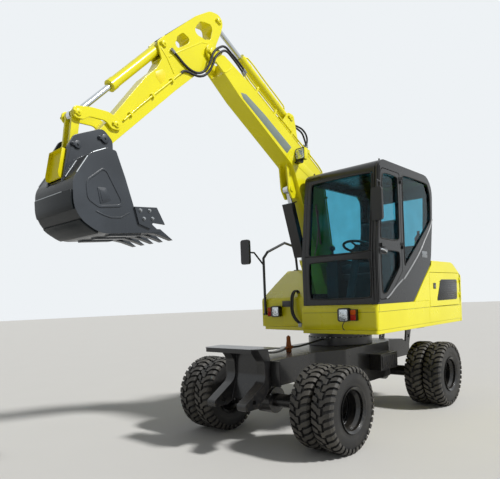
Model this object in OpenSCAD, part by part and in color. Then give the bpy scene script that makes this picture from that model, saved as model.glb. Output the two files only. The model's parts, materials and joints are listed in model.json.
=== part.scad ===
// Wheeled excavator of the six tonne class: X forward, Y to the machine's left, Z up.
// The origin is on the ground under the centre of the swing bearing.

/* [Wheels] */
// Radius of a tyre over its lugs
tyre_r = 405; // [380:1:430]
// Width of one tyre
tyre_w = 215; // [190:1:225]
// Distance between the centres of a twin pair
twin_gap = 240; // [230:1:260]
// Distance from the middle of the machine to the middle of an outer tyre
track_half = 885; // [870:1:910]
// Front axle ahead of the swing centre
front_x = 1400; // [1380:1:1430]
// Rear axle, measured from the swing centre
rear_x = -1000; // [-1040:1:-980]
// Radius of the bead seat of a rim
rim_r = 200; // [190:1:205]
// Radius of the wheel hub
hub_r = 88; // [80:1:95]
// Number of grooves on each side of a tread
grooves = 22; // [18:1:26]
// Depth of the grooves
groove_deep = 16; // [12:1:20]

/* [Axles] */
// Radius of the axle tubes
axle_r = 68; // [60:1:75]
// Radius of the wheel spindles
spindle_r = 44; // [38:1:50]
// Radius of the kingpins
kingpin_r = 22; // [18:1:26]
// Radius of the axle's bevel gear housing
diff_r = 135; // [120:1:142]

/* [Chassis] */
// Height of the chassis deck
deck_z = 860; // [850:1:875]
// Half width of the frame between the front wheels
spine_half = 270; // [240:1:285]
// Half width of the frame under the swing bearing
belly_half = 450; // [430:1:470]
// Distance of the front claws' middles from the middle
cheek_y = 200; // [180:1:230]
// Width of the claws, which are closed boxes
claw_w = 110; // [100:1:120]
// Thickness of the nose and rear plates
cheek_t = 24; // [18:1:30]
// Half width of the step plates
step_half = 400; // [380:1:410]
// Height of the top of the step plates
step_z = 985; // [975:1:995]
// Radius of the tie-down holes in the cheek plates
tie_r = 25; // [20:1:28]

/* [Swing bearing] */
// Outer radius of the swing bearing
ring_r = 390; // [360:1:410]
// Height of the plane where the bearing turns
ring_z = 955; // [945:1:965]

/* [House] */
// Underside of the upper structure
house_z = 1045; // [1040:1:1055]
// Half width of the upper structure
house_half = 955; // [940:1:965]
// Front face of the skirt under the cab
skirt_x = 825; // [815:1:840]
// Height of the skirt's top, where the cab stands
skirt_top = 1350; // [1335:1:1352]
// Rear face of the counterweight
tail_x = -1690; // [-1720:1:-1670]
// Height of the engine cover's top
cover_top = 1826; // [1815:1:1840]
// Thickness of the cover's sheet walls
sheet = 22; // [16:1:26]

/* [Cab] */
// Height of the cab's roof
cab_top = 2840; // [2820:1:2860]
// Right side of the cab
cab_right = 36; // [32:1:40]
// Thickness of the cab's walls
cab_wall = 45; // [40:1:50]
// Height where the windscreen starts to lean back
cab_knee = 1880; // [1870:1:1900]
// Thickness of the panes
pane = 6; // [5:1:8]

/* [Boom] */
// Middle plane of the boom, to the right of the cab
arm_y = -130; // [-134:1:-126]
// Width of the boom
boom_w = 200; // [190:1:206]
// Width of the stick
stick_w = 140; // [130:1:146]
// Radius of the main pivot pins
pin_r = 30; // [26:1:34]
// Radius of the bosses round the main pivots
boss_r = 82; // [76:1:86]

/* [Cylinders] */
// Outer radius of the boom cylinder's barrel
lift_r = 50; // [46:1:54]
// Radius of the boom cylinder's rod
lift_rod_r = 30; // [26:1:34]
// Outer radius of the stick and bucket cylinders' barrels
arm_cyl_r = 46; // [42:1:50]
// Radius of the stick and bucket cylinders' rods
arm_rod_r = 24; // [20:1:27]
// Radius of the small pins of the cylinders and links
small_pin = 20; // [17:1:23]

/* [Bucket] */
// Width of the bucket over its side plates
bucket_w = 580; // [550:1:620]
// Thickness of the bucket's plates
bucket_t = 18; // [14:1:22]
// Number of teeth
teeth = 5; // [4:1:6]

/* [Hidden] */
$fn = 48;

yellow = "#e3e020";
black = "#22252a";
rubber = "#2b2b2b";
steel = "#b8bcc0";
grey = "#4b4f55";
glass = "#5f9a98";

pin_gap = 0.4;      // between a pin and its bore
side_gap = 6;       // between pieces that turn beside each other
seat_gap = 0.3;     // between pieces that rest on each other
axle_z = tyre_r;
inner_y = track_half - twin_gap;        // middle of an inner tyre
hub_in = inner_y - 70;                  // inner end of a wheel hub
hub_out = track_half - twin_gap / 2 + 40;
kingpin_y = hub_in - 70;

// Pivots in the side view, [x, z], with the machine as it stands
boom_foot = [60, 1380];
lift_base = [295, 1190];
lift_eye = [790, 2690];
stick_pivot = [2000, 3800];
stick_cyl_base = [760, 3500];
stick_cyl_eye = [1874, 4160];
bucket_cyl_base = [2568, 3697];
link_pin = [3420, 2885];
idler_pin = [3095, 2870];
bucket_pin = [3230, 2720];
bucket_rear_pin = [3460, 2630];

function unit(v) = v / norm(v);
function turn(v, a) = [v.x * cos(a) - v.y * sin(a), v.x * sin(a) + v.y * cos(a)];
function heading(a, b) = atan2(b.y - a.y, b.x - a.x);
// Points of an outline whose corners [x, z, radius] are rounded with arcs of n steps
function corner(a, b, c, r, n) = r <= 0 ? [b] :
    let (u = unit(a - b), v = unit(c - b), half = acos(u * v) / 2,
        centre = b + unit(u + v) * r / sin(half),
        p = b + u * r / tan(half) - centre, q = b + v * r / tan(half) - centre,
        start = atan2(p.y, p.x), sweep = (atan2(q.y, q.x) - start + 540) % 360 - 180)
    [for (i = [0:n]) centre + r * [cos(start + sweep * i / n), sin(start + sweep * i / n)]];
function xz(p) = [p[0], p[1]];
function at(p, dx, dz, r = 0) = [p.x + dx, p.y + dz, r];
function outline(pts, n = 6) = let (k = len(pts)) [for (i = [0:k - 1])
    each corner(xz(pts[(i + k - 1) % k]), xz(pts[i]), xz(pts[(i + 1) % k]), pts[i][2], n)];

// A side view outline made solid between two distances to the left
module slab(y0, y1) translate([0, y1, 0]) rotate([90, 0, 0]) linear_extrude(y1 - y0) children();
module round_y(p, r, y0, y1) slab(y0, y1) translate(p) circle(r);
// A front view outline in [y, z] made solid between two distances ahead
module block_x(x0, x1) translate([x0, 0, 0]) rotate([90, 0, 90]) linear_extrude(x1 - x0) children();
function box_yz(y0, y1, z0, z1, r) = [[y0, z0, r], [y1, z0, r], [y1, z1, r], [y0, z1, r]];
module both_sides(y) { children(); translate([0, 2 * y, 0]) mirror([0, 1, 0]) children(); }
// Puts a shape drawn along +X at point p in the side view, turned by angle a
module along(p, a) translate([p.x, arm_y, p.y]) rotate([0, -a, 0]) children();

// Wheels

tyre_profile = [[rim_r, -tyre_w / 2 + 22], [rim_r + 18, -tyre_w / 2 + 8],
    [(rim_r + tyre_r) / 2, -tyre_w / 2], [tyre_r - 30, -tyre_w / 2 + 10],
    [tyre_r, -tyre_w / 2 + 24], [tyre_r, tyre_w / 2 - 24], [tyre_r - 30, tyre_w / 2 - 10],
    [(rim_r + tyre_r) / 2, tyre_w / 2], [rim_r + 18, tyre_w / 2 - 8], [rim_r, tyre_w / 2 - 22]];

groove_w = 22;
groove_slant = 24;
// Slanted grooves from near the middle of the tread out through one shoulder
module tread_grooves() for (i = [0:grooves - 1]) rotate([0, 0, i * 360 / grooves])
    translate([tyre_r - groove_deep, 0, 14]) rotate([groove_slant, 0, 0])
        translate([0, -groove_w / 2, 0]) cube([groove_deep + 20, groove_w, tyre_w / 2 + 20]);
module tyres(x, side) color(rubber)
    for (y = [inner_y, track_half])
        translate([x, side * y, axle_z]) rotate([90, 0, 0]) difference() {
            rotate_extrude($fn = 72) polygon(tyre_profile);
            tread_grooves();
            rotate([0, 0, 180 / grooves]) mirror([0, 0, 1]) tread_grooves();
        }

rim_lip = 8;
disc_t = 16;
// Half of a rim's section, from the outside of its well round the flange and back inside
function rim_side(s) = [for (p = [[rim_r - 24, 26], [rim_r - seat_gap, tyre_w / 2 - 45],
    [rim_r - seat_gap, tyre_w / 2 - 22], [rim_r + 12, tyre_w / 2 - 4],
    [rim_r + 12, tyre_w / 2 - 4 + rim_lip], [rim_r - 14, tyre_w / 2 - 14],
    [rim_r - 14, tyre_w / 2 - 42], [rim_r - 36, 30]]) [p[0], s * p[1]]];
module rims(x, side) color(black)
    translate([x, 0, axle_z]) rotate([side > 0 ? -90 : 90, 0, 0]) difference() {
        union() {
            for (y = [inner_y, track_half]) translate([0, 0, y]) rotate_extrude()
                polygon(concat(rim_side(-1), [for (i = [7:-1:0]) rim_side(1)[i]]));
            // The discs of the two rims meet on the hub's flange
            translate([0, 0, track_half - twin_gap / 2 - disc_t]) cylinder(r = 120, h = 2 * disc_t);
            for (s = [-1, 1]) translate([0, 0, track_half - twin_gap / 2]) rotate_extrude()
                polygon([[110, 0], [110, s * disc_t], [rim_r - 8, s * 46], [rim_r - 8, s * 26]]);
            translate([0, 0, hub_in]) cylinder(r = hub_r, h = hub_out - hub_in);
        }
        translate([0, 0, hub_in - 1]) cylinder(r = spindle_r + pin_gap, h = hub_out - hub_in - 30);
    }

module tyres_front_left() tyres(front_x, 1);
module tyres_front_right() tyres(front_x, -1);
module tyres_rear_left() tyres(rear_x, 1);
module tyres_rear_right() tyres(rear_x, -1);
module rims_front_left() rims(front_x, 1);
module rims_front_right() rims(front_x, -1);
module rims_rear_left() rims(rear_x, 1);
module rims_rear_right() rims(rear_x, -1);

// Axles

spindle_end = hub_out - 36;
fork_z = 70;        // half height of the gap in the kingpin fork
shaft_z = 368;
pinion_end = 215;   // length of the pinion housing from the axle's middle
// Side is the way along X that the pinion housing points
module bevel_housing(x, side) translate([x, 0, axle_z]) {
    rotate([90, 0, 0]) cylinder(r = diff_r, h = 190, center = true);
    translate([side > 0 ? 80 : -pinion_end, 0, shaft_z - axle_z]) rotate([0, 90, 0])
        cylinder(r = 54, h = pinion_end - 80);
}

module rear_axle() color(black) {
    round_y([rear_x, axle_z], axle_r, -hub_in + side_gap, hub_in - side_gap);
    bevel_housing(rear_x, 1);
    for (s = [-1, 1]) translate([rear_x - 90, s * 170 - 45, axle_z + 30])
        cube([180, 90, spine_bottom(rear_x) - axle_z - 30 - seat_gap]);
    round_y([rear_x, axle_z], spindle_r, -spindle_end, spindle_end);
}

module front_axle() color(black) {
    difference() {
        union() {
            round_y([front_x, axle_z], axle_r, -kingpin_y + 62, kingpin_y - 62);
            bevel_housing(front_x, -1);
            for (s = [-1, 1]) translate([front_x - 50, s * (kingpin_y - 32) - 66, axle_z - fork_z - 22])
                cube([100, 132, 2 * fork_z + 44]);
            translate([front_x - 80, -80, axle_z + 60])
                cube([160, 160, spine_bottom(front_x) - axle_z - 60 - seat_gap]);
        }
        for (s = [-1, 1]) {
            translate([front_x - 100, s * (kingpin_y + 6) - 50, axle_z - fork_z])
                cube([200, 100, 2 * fork_z]);
            translate([front_x, s * kingpin_y, axle_z - 120])
                cylinder(r = kingpin_r + pin_gap, h = 240);
        }
    }
}

module knuckle(side) color(black) translate([front_x, 0, axle_z]) {
    rotate([side > 0 ? -90 : 90, 0, 0])
        translate([0, 0, kingpin_y]) cylinder(r = spindle_r, h = spindle_end - kingpin_y);
    translate([0, side * kingpin_y, -fork_z - 30]) cylinder(r = kingpin_r, h = 2 * fork_z + 60);
    translate([0, side * kingpin_y, -fork_z + side_gap]) cylinder(r = 36, h = 2 * (fork_z - side_gap));
    // The steering arm reaches back to the track rod
    translate([-150, side * kingpin_y - 14, -44]) cube([130, 28, 22]);
}
module knuckle_left() knuckle(1);
module knuckle_right() knuckle(-1);

module drive_line() color(black) {
    translate([120, -130, 310]) cube([260, 260, spine_low - 310 - seat_gap]);
    for (end = [[370, front_x - pinion_end - seat_gap], [rear_x + pinion_end + seat_gap, 130]])
        translate([end[0], 0, shaft_z]) rotate([0, 90, 0]) {
            cylinder(r = 28, h = end[1] - end[0]);
            translate([0, 0, end[0] > 0 ? end[1] - end[0] - 24 : 0]) cylinder(r = 50, h = 24);
        }
}

// Chassis

spine_front = 1650;
spine_rear = -1400;
spine_low = 430;    // underside of the spine between the axles
function spine_bottom(x) = x > 900 ? 590 : (x < -700 ? 575 : spine_low);

module chassis_frame() color(black) {
    // The spine is cut from its side view and its plan together
    intersection() {
        slab(-700, 700) polygon(outline([[spine_front, 590, 0], [900, 590, 120],
            [620, spine_low, 120], [-480, spine_low, 120], [-700, 575, 80], [spine_rear, 575, 0],
            [spine_rear, 720, 0], [-1180, deck_z - 40, 0], [-520, deck_z, 0], [480, deck_z, 0],
            [spine_front, deck_z - 12, 0]]));
        translate([0, 0, 300]) linear_extrude(700) polygon(outline([[spine_front, -spine_half, 0],
            [spine_front, spine_half, 0], [950, spine_half, 60], [620, belly_half, 80],
            [-420, belly_half, 120], [-760, spine_half, 60], [spine_rear, spine_half, 0],
            [spine_rear, -spine_half, 0], [-760, -spine_half, 60], [-420, -belly_half, 120],
            [620, -belly_half, 80], [950, -spine_half, 60]]));
    }
    // The nose plate stands across the front of the spine
    translate([spine_front, -360, 600]) cube([cheek_t, 720, deck_z - 12 - 600]);
}

cradle_x = spine_front + cheek_t + seat_gap;
tie_front = [1930, 485];
module front_cradle() color(black) {
    for (s = [-1, 1]) slab(s * cheek_y - claw_w / 2, s * cheek_y + claw_w / 2) difference() {
        polygon(outline([[cradle_x, 600, 0], [cradle_x, 850, 0], [cradle_x + 30, step_z - 10, 0],
            [cradle_x + 190, step_z - 10, 0], [cradle_x + 90, 850, 90], [cradle_x + 80, 660, 120],
            [2060, 480, 30], [2050, 420, 20], [1860, 420, 60]]));
        translate(tie_front) circle(tie_r);
    }
    // The apron behind the claws' hollow front edges
    slab(-cheek_y, cheek_y) polygon(outline([[cradle_x + 44, step_z - 5, 0],
        [cradle_x + 56, step_z - 5, 0], [cradle_x + 60, 700, 150], [cradle_x + 140, 475, 0],
        [cradle_x + 128, 470, 0], [cradle_x + 48, 696, 150]]));
    // The step plate with its folded lip
    translate([cradle_x + 20, -step_half, step_z - 10]) cube([260, 2 * step_half, 10]);
    translate([cradle_x + 270, -step_half, step_z - 45]) cube([10, 2 * step_half, 45]);
}

cap_x = spine_rear - seat_gap;
tie_rear = [-1500, 830];
module rear_step() color(black) {
    for (s = [-1, 1]) slab(s * cheek_y - cheek_t / 2, s * cheek_y + cheek_t / 2) difference() {
        polygon([[cap_x, 580], [cap_x, 715], [cap_x - 50, step_z - 40],
            [cap_x - 210, step_z - 40], [cap_x - 90, 600]]);
        translate(tie_rear) circle(tie_r);
    }
    translate([cap_x, -cheek_y, 590]) mirror([1, 0, 0]) cube([16, 2 * cheek_y, 110]);
    translate([cap_x - 240, -step_half, step_z - 40]) cube([230, 2 * step_half, 10]);
}

module side_locker() color(black) {
    translate([-320, belly_half + seat_gap, 560]) cube([420, 150, 190]);
    translate([-300, belly_half + 150, 580]) cube([380, 9, 150]);
}

module bearing_lower() color(black) translate([0, 0, deck_z + seat_gap]) difference() {
    cylinder(r = ring_r, h = ring_z - deck_z - seat_gap, $fn = 72);
    translate([0, 0, 20]) cylinder(r = ring_r - 110, h = 200, $fn = 72);
}

module bearing_upper() color(black) translate([0, 0, ring_z + seat_gap]) difference() {
    cylinder(r = ring_r - 16, h = house_z - ring_z - seat_gap - seat_gap, $fn = 72);
    translate([0, 0, -1]) cylinder(r = ring_r - 110, h = 200, $fn = 72);
}

// Fitting on the deck with its hoses, which run to the front step and to the swing bearing
function deck_at(x) = deck_z - 12 * (x - 480) / (spine_front - 480);
module deck_hoses() color(rubber) {
    translate([1030, -22, deck_at(1030) + seat_gap]) cube([40, 44, 1030 - deck_at(1030)]);
    rod3([[ring_r + 1, 0, 938], [560, 0, 925], [760, 0, 908], [940, 0, 902], [1050, 0, 912]], hose_r);
    rod3([[1050, 0, 912], [1200, 4, 884], [1340, 8, 882], [1480, 10, 900], [1570, 10, 896],
        [1618, 10, 862.5]], hose_r);
}

// Upper structure

floor_t = 40;
deck_top = house_z + floor_t;
seat_z = deck_top + seat_gap;       // where pieces stand on the house's floor
tail_front = -1530;                 // front face of the counterweight
lift_pin = small_pin + 6;
tower_t = 26;       // plates that carry the boom
tower_in = boom_w / 2 + side_gap;
module upper_frame() color(yellow) {
    translate([0, 0, house_z]) linear_extrude(floor_t) polygon(outline([[skirt_x - 5, cab_right, 0],
        [skirt_x - 5, house_half - 5, 30], [tail_front + seat_gap, house_half - 5, 0],
        [tail_front + seat_gap, -house_half + 10, 0], [330, -house_half + 10, 30],
        [450, -330, 0], [520, cab_right, 0]]));
    both_sides(arm_y) slab(arm_y + tower_in, arm_y + tower_in + tower_t)
        polygon(outline([[-330, deck_top, 0], [-90, 1420, 60], [0, 1470, 40],
            [150, 1470, 60], [400, 1230, 60], [440, deck_top, 0]]));
    for (pin = [[boom_foot, pin_r], [lift_base, lift_pin]])
        round_y(pin[0], pin[1], arm_y - tower_in - tower_t - 12, arm_y + tower_in + tower_t + 12);
}

cab_left = house_half;
bay_front = -480;
bay_rear = tail_front + seat_gap;
skirt_rear = bay_front + seat_gap;
module cab_skirt() color(yellow)
    intersection() {
        translate([0, 0, seat_z]) linear_extrude(skirt_top - seat_z)
            polygon(outline([[skirt_x, cab_right - 6, 0], [skirt_x, house_half, 40],
                [skirt_rear, house_half, 0], [skirt_rear, cab_right - 6, 0]]));
        slab(-100, 1000) polygon(outline([[skirt_x - 20, house_z, 0], [skirt_x, house_z + 90, 200],
            [skirt_x, skirt_top - 40, 60], [skirt_x - 30, skirt_top, 0], [skirt_rear, skirt_top, 0],
            [skirt_rear, house_z, 0]]));
    }

tank_left = arm_y - tower_in - tower_t - 20;
tank_front = 355;
tank_rear = -585;
module tank_body() color(yellow)
    slab(-house_half, tank_left) polygon(outline([[tank_front, seat_z, 0], [tank_front, 1440, 60],
        [60, 1640, 60], [-230, cover_top, 90], [tank_rear, cover_top, 0], [tank_rear, seat_z, 0]]));

// Hoses from the tank's top edge down its front to the floor
module house_hoses() color(rubber)
    for (y = [-405, -432]) rod3([[264, y, 1505], [292, y, 1530], [345, y, 1526], [392, y, 1478],
        [415, y + 4, 1380], [422, y + 14, 1260], [412, y + 60, 1170], [396, y + 100, 1125],
        [394, y + 106, 1106], [394, y + 106, deck_top + seat_gap]], hose_r);

// Plan of the tail, with rounded corners
module tail_plan(x0, inset = 0) polygon(outline([[x0, house_half - inset, 0],
    [tail_x + inset, house_half - inset, 150], [tail_x + inset, -house_half + inset, 150],
    [x0, -house_half + inset, 0]], 8));

module counterweight() color(yellow) intersection() {
    translate([0, 0, house_z]) linear_extrude(900) tail_plan(tail_front);
    slab(-house_half, house_half) polygon(outline([[tail_front, house_z, 0],
        [tail_front, slope_z(tail_front), 0], [-1625, slope_z(-1625), 60],
        [tail_x, 1540, 120], [tail_x, house_z, 60]]));
}

// The cover's top slopes down to the tail behind this point
slope_x = -1245;
function slope_z(x) = x > slope_x ? cover_top : cover_top - (slope_x - x) * 0.5286;
module cover_side() polygon(outline([[bay_rear, seat_z, 0], [bay_rear, slope_z(bay_rear), 0],
    [slope_x, cover_top, 0], [tank_rear, cover_top, 0], [-570, 1770, 0], [bay_front, 1690, 0],
    [bay_front, seat_z, 0]]));

module engine_cover() color(yellow) difference() {
    union() {
        slab(-house_half, house_half) cover_side();
        // The corner that rises behind the cab
        slab(cab_right, house_half) polygon(outline([[bay_front, skirt_top + seat_gap, 0],
            [-70, skirt_top + seat_gap, 0], [-330, 1580, 260], [-560, 1762, 0],
            [-600, 1762, 0], [-600, 1500, 0]]));
        for (z = [1360, 1560]) hinge_half([-1500, z], -1, house_half);
        for (y = hood_hinge_y) {
            round_y(hood_hinge, hinge_r, y, y + 40);
            slab(y, y + 40) translate([hood_hinge.x - 6, cover_top - 1]) square([12, 16]);
        }
    }
    slab(-house_half + sheet, house_half - sheet) translate([sheet, 0]) intersection() {
        translate([0, -sheet]) cover_side();
        translate([-1600, 0]) square([1090, 3000]);
    }
    // Openings for the side door and the hood
    slab(house_half - 40, house_half + 10) polygon(outline(side_opening));
    translate([hood_rear, -hood_half, 1600]) cube([hood_front - hood_rear, 2 * hood_half, 300]);
    // The tank body fills the front right corner
    translate([tank_rear - seat_gap, -house_half - 1, house_z])
        cube([500, house_half + 1 + tank_left + seat_gap, 900]);
}
hinge_r = 9;
hinge_off = 9.5;    // from the outer face to the hinge's axis
leaf = 28;
// Half of a hinge with its leaf, at [x, z] on the outer face at y; way is the side of the leaf
module hinge_half(p, way, y) translate([p.x, y + hinge_off, p.y]) {
    cylinder(r = hinge_r, h = 34, $fn = 24);
    translate([way < 0 ? -leaf : 0, -hinge_off + 0.5, 0]) cube([leaf, hinge_off - 0.5, 34]);
    translate([way < 0 ? -leaf : leaf / 2, -hinge_off - 1, 0]) cube([leaf / 2, hinge_off, 34]);
}
side_opening = [[-1500, 1270, 20], [-1500, 1690, 20], [-500, 1690, 20], [-510, 1270, 20]];

module engine() color(grey) {
    translate([-1280, -420, seat_z + 20]) cube([560, 760, 440]);
    translate([-1180, -300, seat_z + 459]) cube([360, 520, 60]);
    for (x = [-1200, -840]) translate([x, -400, seat_z]) cube([60, 720, 21]);
}

hood_gap = 5;
hood_half = house_half - 170;
hood_front = -630;
hood_rear = -1430;
hood_lap = 24;      // how far the hood covers the rim of its opening
hood_hinge = [-603, cover_top + 15];
hood_hinge_y = [-540, 460];
// Side view of the hood between two heights over the cover
function hood_band(x0, x1, low, high) = [[x0, slope_z(x0) + low], [slope_x, cover_top + low],
    [x1, cover_top + low], [x1, cover_top + high], [slope_x, cover_top + high],
    [x0, slope_z(x0) + high]];
module engine_hood() color(yellow) {
    slab(-hood_half + hood_gap, hood_half - hood_gap)
        polygon(hood_band(hood_rear + hood_gap, hood_front - hood_gap, -26, 4));
    slab(-hood_half - hood_lap, hood_half + hood_lap)
        polygon(hood_band(hood_rear - hood_lap, hood_front + hood_lap - 8, seat_gap, 26));
    for (y = hood_hinge_y) {
        round_y(hood_hinge, hinge_r, y + 44, y + 84);
        slab(y + 44, y + 84) translate([hood_hinge.x - 14, cover_top + 10]) square([14, 12]);
    }
}

door_gap = 4;
module side_door() color(yellow) {
    slab(house_half - sheet, house_half) polygon(outline([for (p = side_opening)
        [p[0] + sign(-1005 - p[0]) * door_gap, p[1] + sign(1480 - p[1]) * door_gap, p[2]]]));
    for (z = [1360, 1560]) hinge_half([-1500, z + 34 + door_gap], 1, house_half);
}

// Cab

cab_bottom = skirt_top + seat_gap;
cab_outline = [[795, cab_bottom, 0], [795, cab_knee, 400], [668, cab_top, 120],
    [-690, cab_top, 230], [-650, 2300, 500], [-570, 1800, 260], [-40, cab_bottom, 0]];
function cab_inner(w) = [[795 - w, cab_bottom + w, 0], [795 - w, cab_knee, 400],
    [668 - w, cab_top - w, 120 - w], [-690 + w, cab_top - w, 230 - w], [-650 + w, 2300, 500],
    [-570 + w, 1800 + w / 2, 260], [-40 - w / 3, cab_bottom + w, 0]];
door_outline = [[755, skirt_top + 45, 20], [755, cab_knee, 400], [648, cab_top - 90, 70],
    [215, cab_top - 90, 30], [215, 1690, 30], [560, skirt_top + 45, 60]];
quarter_outline = [[150, 1740, 30], [150, cab_top - 95, 40], [-600, cab_top - 95, 150],
    [-590, 2290, 60]];

door_hinge_x = 205;
module cab_left_wall() color(black) {
    difference() {
        slab(cab_left - cab_wall, cab_left) polygon(outline(cab_outline));
        slab(cab_left - cab_wall - 1, cab_left + 1) polygon(outline(door_outline));
        slab(cab_left - cab_wall - 1, cab_left + 1) polygon(outline(quarter_outline));
    }
    for (z = [1930, 2640]) hinge_half([door_hinge_x, z], -1, cab_left);
}

right_window = [[700, 1480, 40], [700, cab_knee, 300], [600, cab_top - 110, 60],
    [-560, cab_top - 110, 120], [-540, 1900, 100], [-300, 1700, 60], [-150, 1480, 40]];
module cab_right_wall() color(black) difference() {
    slab(cab_right, cab_right + cab_wall) polygon(outline(cab_outline));
    slab(cab_right - 1, cab_right + cab_wall + 1) polygon(outline(right_window));
}

pane_right = cab_right + 94;
pane_left = cab_left - 75;
front_upper = [pane_right, pane_left, cab_knee + 10, cab_top - 130];    // y from, y to, z from, z to
front_lower = [pane_right, pane_left, skirt_top + 70, cab_knee - 60];
rear_pane = [pane_right + 20, pane_left - 30];
module cab_shell() color(black) {
    cab_roof_and_ends();
    // Shelf for the fire extinguisher
    translate([-575, cab_left - cab_wall - 130, 1868]) cube([150, 130 - seat_gap, 12]);
}
module cab_roof_and_ends() difference() {
    slab(cab_right + cab_wall + seat_gap, cab_left - cab_wall - seat_gap) difference() {
        polygon(outline(cab_outline));
        polygon(outline(cab_inner(cab_wall)));
    }
    for (w = [front_upper, front_lower]) translate([500, w[0], w[2]])
        cube([400, w[1] - w[0], w[3] - w[2]]);
    translate([-760, rear_pane[0], 1950]) cube([200, rear_pane[1] - rear_pane[0], 660]);
}

module cab_panes() color(glass) {
    intersection() {
        slab(front_upper[0], front_upper[1]) difference() {
            polygon(outline(cab_inner(12)));
            polygon(outline(cab_inner(12 + pane)));
        }
        for (w = [front_upper, front_lower]) translate([500, w[0], w[2]])
            cube([400, w[1] - w[0], w[3] - w[2]]);
    }
    intersection() {
        slab(rear_pane[0], rear_pane[1]) difference() {
            polygon(outline(cab_inner(12)));
            polygon(outline(cab_inner(12 + pane)));
        }
        translate([-760, rear_pane[0], 1950]) cube([200, rear_pane[1] - rear_pane[0], 660]);
    }
    slab(cab_right + 14, cab_right + 14 + pane) polygon(outline(right_window));
    slab(cab_left - 14 - pane, cab_left - 14) polygon(outline(quarter_outline));
}

floor_z = cab_bottom + cab_wall + seat_gap;
seat_x = 60;
seat_y = (cab_right + cab_left) / 2;
module seat_base() color(grey) {
    translate([seat_x - 50, seat_y - 170, floor_z]) cube([260, 340, 231]);
    translate([seat_x - 226, seat_y - 230, floor_z + 230]) cube([466, 460, 60]);
    // Frame behind the back cushion
    slab(seat_y - 190, seat_y + 190) translate([seat_x, floor_z]) polygon([[-226, 280], [-200, 280],
        [-200, 470], [-264, 700], [-290, 700], [-226, 474]]);
}
module seat_cushions() color(grey) {
    slab(seat_y - 240, seat_y + 240) polygon(outline([[seat_x - 190, floor_z + 290.3, 20],
        [seat_x - 190, floor_z + 400, 40], [seat_x + 270, floor_z + 415, 50],
        [seat_x + 270, floor_z + 290.3, 30]]));
    slab(seat_y - 240, seat_y + 240) polygon(outline([[seat_x - 199.5, floor_z + 403, 30],
        [seat_x - 199.5, floor_z + 470, 10], [seat_x - 330, floor_z + 940, 44],
        [seat_x - 230, floor_z + 940, 44], [seat_x - 85, floor_z + 430, 30]]));
}

module consoles() color(grey) {
    for (y = [[cab_right + cab_wall + 12, seat_y - 250], [seat_y + 250, cab_left - cab_wall - 12]]) {
        slab(y[0], y[1]) translate([seat_x, floor_z]) polygon([[-30, 0], [330, 0], [330, 470],
            [-210, 470], [-210, 190]]);
        translate([seat_x + 300, (y[0] + y[1]) / 2, floor_z + 460]) {
            cylinder(r = 12, h = 130);
            translate([0, 0, 150]) sphere(r = 32);
        }
    }
    // Steering column and wheel
    translate([560, seat_y, floor_z + 15.5]) rotate([0, -20, 0]) {
        cylinder(r = 45, h = 600);
        translate([0, 0, 620]) rotate_extrude() translate([160, 0]) circle(r = 14, $fn = 16);
        translate([0, 0, 600]) cylinder(r = 40, h = 34);
        for (a = [0:120:359]) rotate([0, 0, a]) translate([0, -12, 612]) cube([160, 24, 12]);
    }
}

module fire_extinguisher() color("red") translate([-480, cab_left - cab_wall - 64, 1880 + seat_gap]) {
    cylinder(r = 46, h = 230);
    translate([0, 0, 230]) cylinder(r1 = 46, r2 = 18, h = 40);
    translate([0, 0, 270]) cylinder(r = 16, h = 40);
}

// Rail on the right front corner, with the mirror on its arm
rail_r = 17;
module rod3(points, r) for (i = [0:len(points) - 2]) {
    step = points[i + 1] - points[i];
    translate(points[i]) rotate([0, acos(step.z / norm(step)), atan2(step.y, step.x)]) {
        cylinder(r = r, h = norm(step), $fn = 24);
        if (i < len(points) - 2) translate([0, 0, norm(step)]) sphere(r = r + 0.5, $fn = 24);
    }
}
rail_y = -house_half + 75;
rail_in = rail_y + 40;
rail = [[380, rail_y, 1250], [380, rail_y, 1980], [340, rail_in, 2060], [-30, rail_in, 2200],
    [-260, rail_in, 2160], [-300, rail_in, cover_top + seat_gap + 4]];
module mirror_rail() color(black) {
    rod3(rail, rail_r);
    translate([tank_front + seat_gap, rail_y - 20, 1235]) cube([45, 40, 24]);
    translate([-335, rail_in - 35, cover_top + seat_gap]) cube([70, 70, 10]);
    rod3([[380, rail_y, 1890], [560, rail_y, 2045], [720, rail_y, 2045]], 11);
    block_x(704, 740) polygon(outline(box_yz(rail_y - 70, rail_y + 70, 1890, 2200, 34)));
}

module left_mirror() color(black) {
    translate([675, cab_left + seat_gap, 2560]) cube([19, 16, 60]);
    rod3([[684, cab_left + 10, 2590], [780, cab_left + 24, 2590], [780, cab_left + 24, 2510]], 9);
    block_x(764, 798) polygon(outline(box_yz(cab_left - 40, cab_left + 78, 2190, 2520, 30)));
}

lamp_w = 130;
// A lamp with a hollow rim for its lens, seated at [x, y, z] with an indicator on one side
module lamp(x, y, z, way) color(black) {
    difference() {
        block_x(x + 14, x + 76) polygon(outline(box_yz(y - lamp_w / 2, y + lamp_w / 2, z, z + 140, 26)));
        block_x(x + 66, x + 77) polygon(outline(box_yz(y - lamp_w / 2 + 12, y + lamp_w / 2 - 12,
            z + 12, z + 128, 16)));
    }
    block_x(x, x + 15) polygon(outline(box_yz(y - 34, y + 34, z + 30, z + 110, 8)));
    translate([x + 8, y - 20 + min(0, way * 90), z + 50]) cube([8, 130, 40]);
    translate([x + 8, y + way * (lamp_w / 2 + 42) - 34, z + 8]) cube([46, 68, 116]);
}
module headlamps() {
    lamp(skirt_x + seat_gap, house_half - 351, 1180, 1);
    lamp(tank_front + seat_gap, -house_half + 275, 1210, -1);
}

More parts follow.
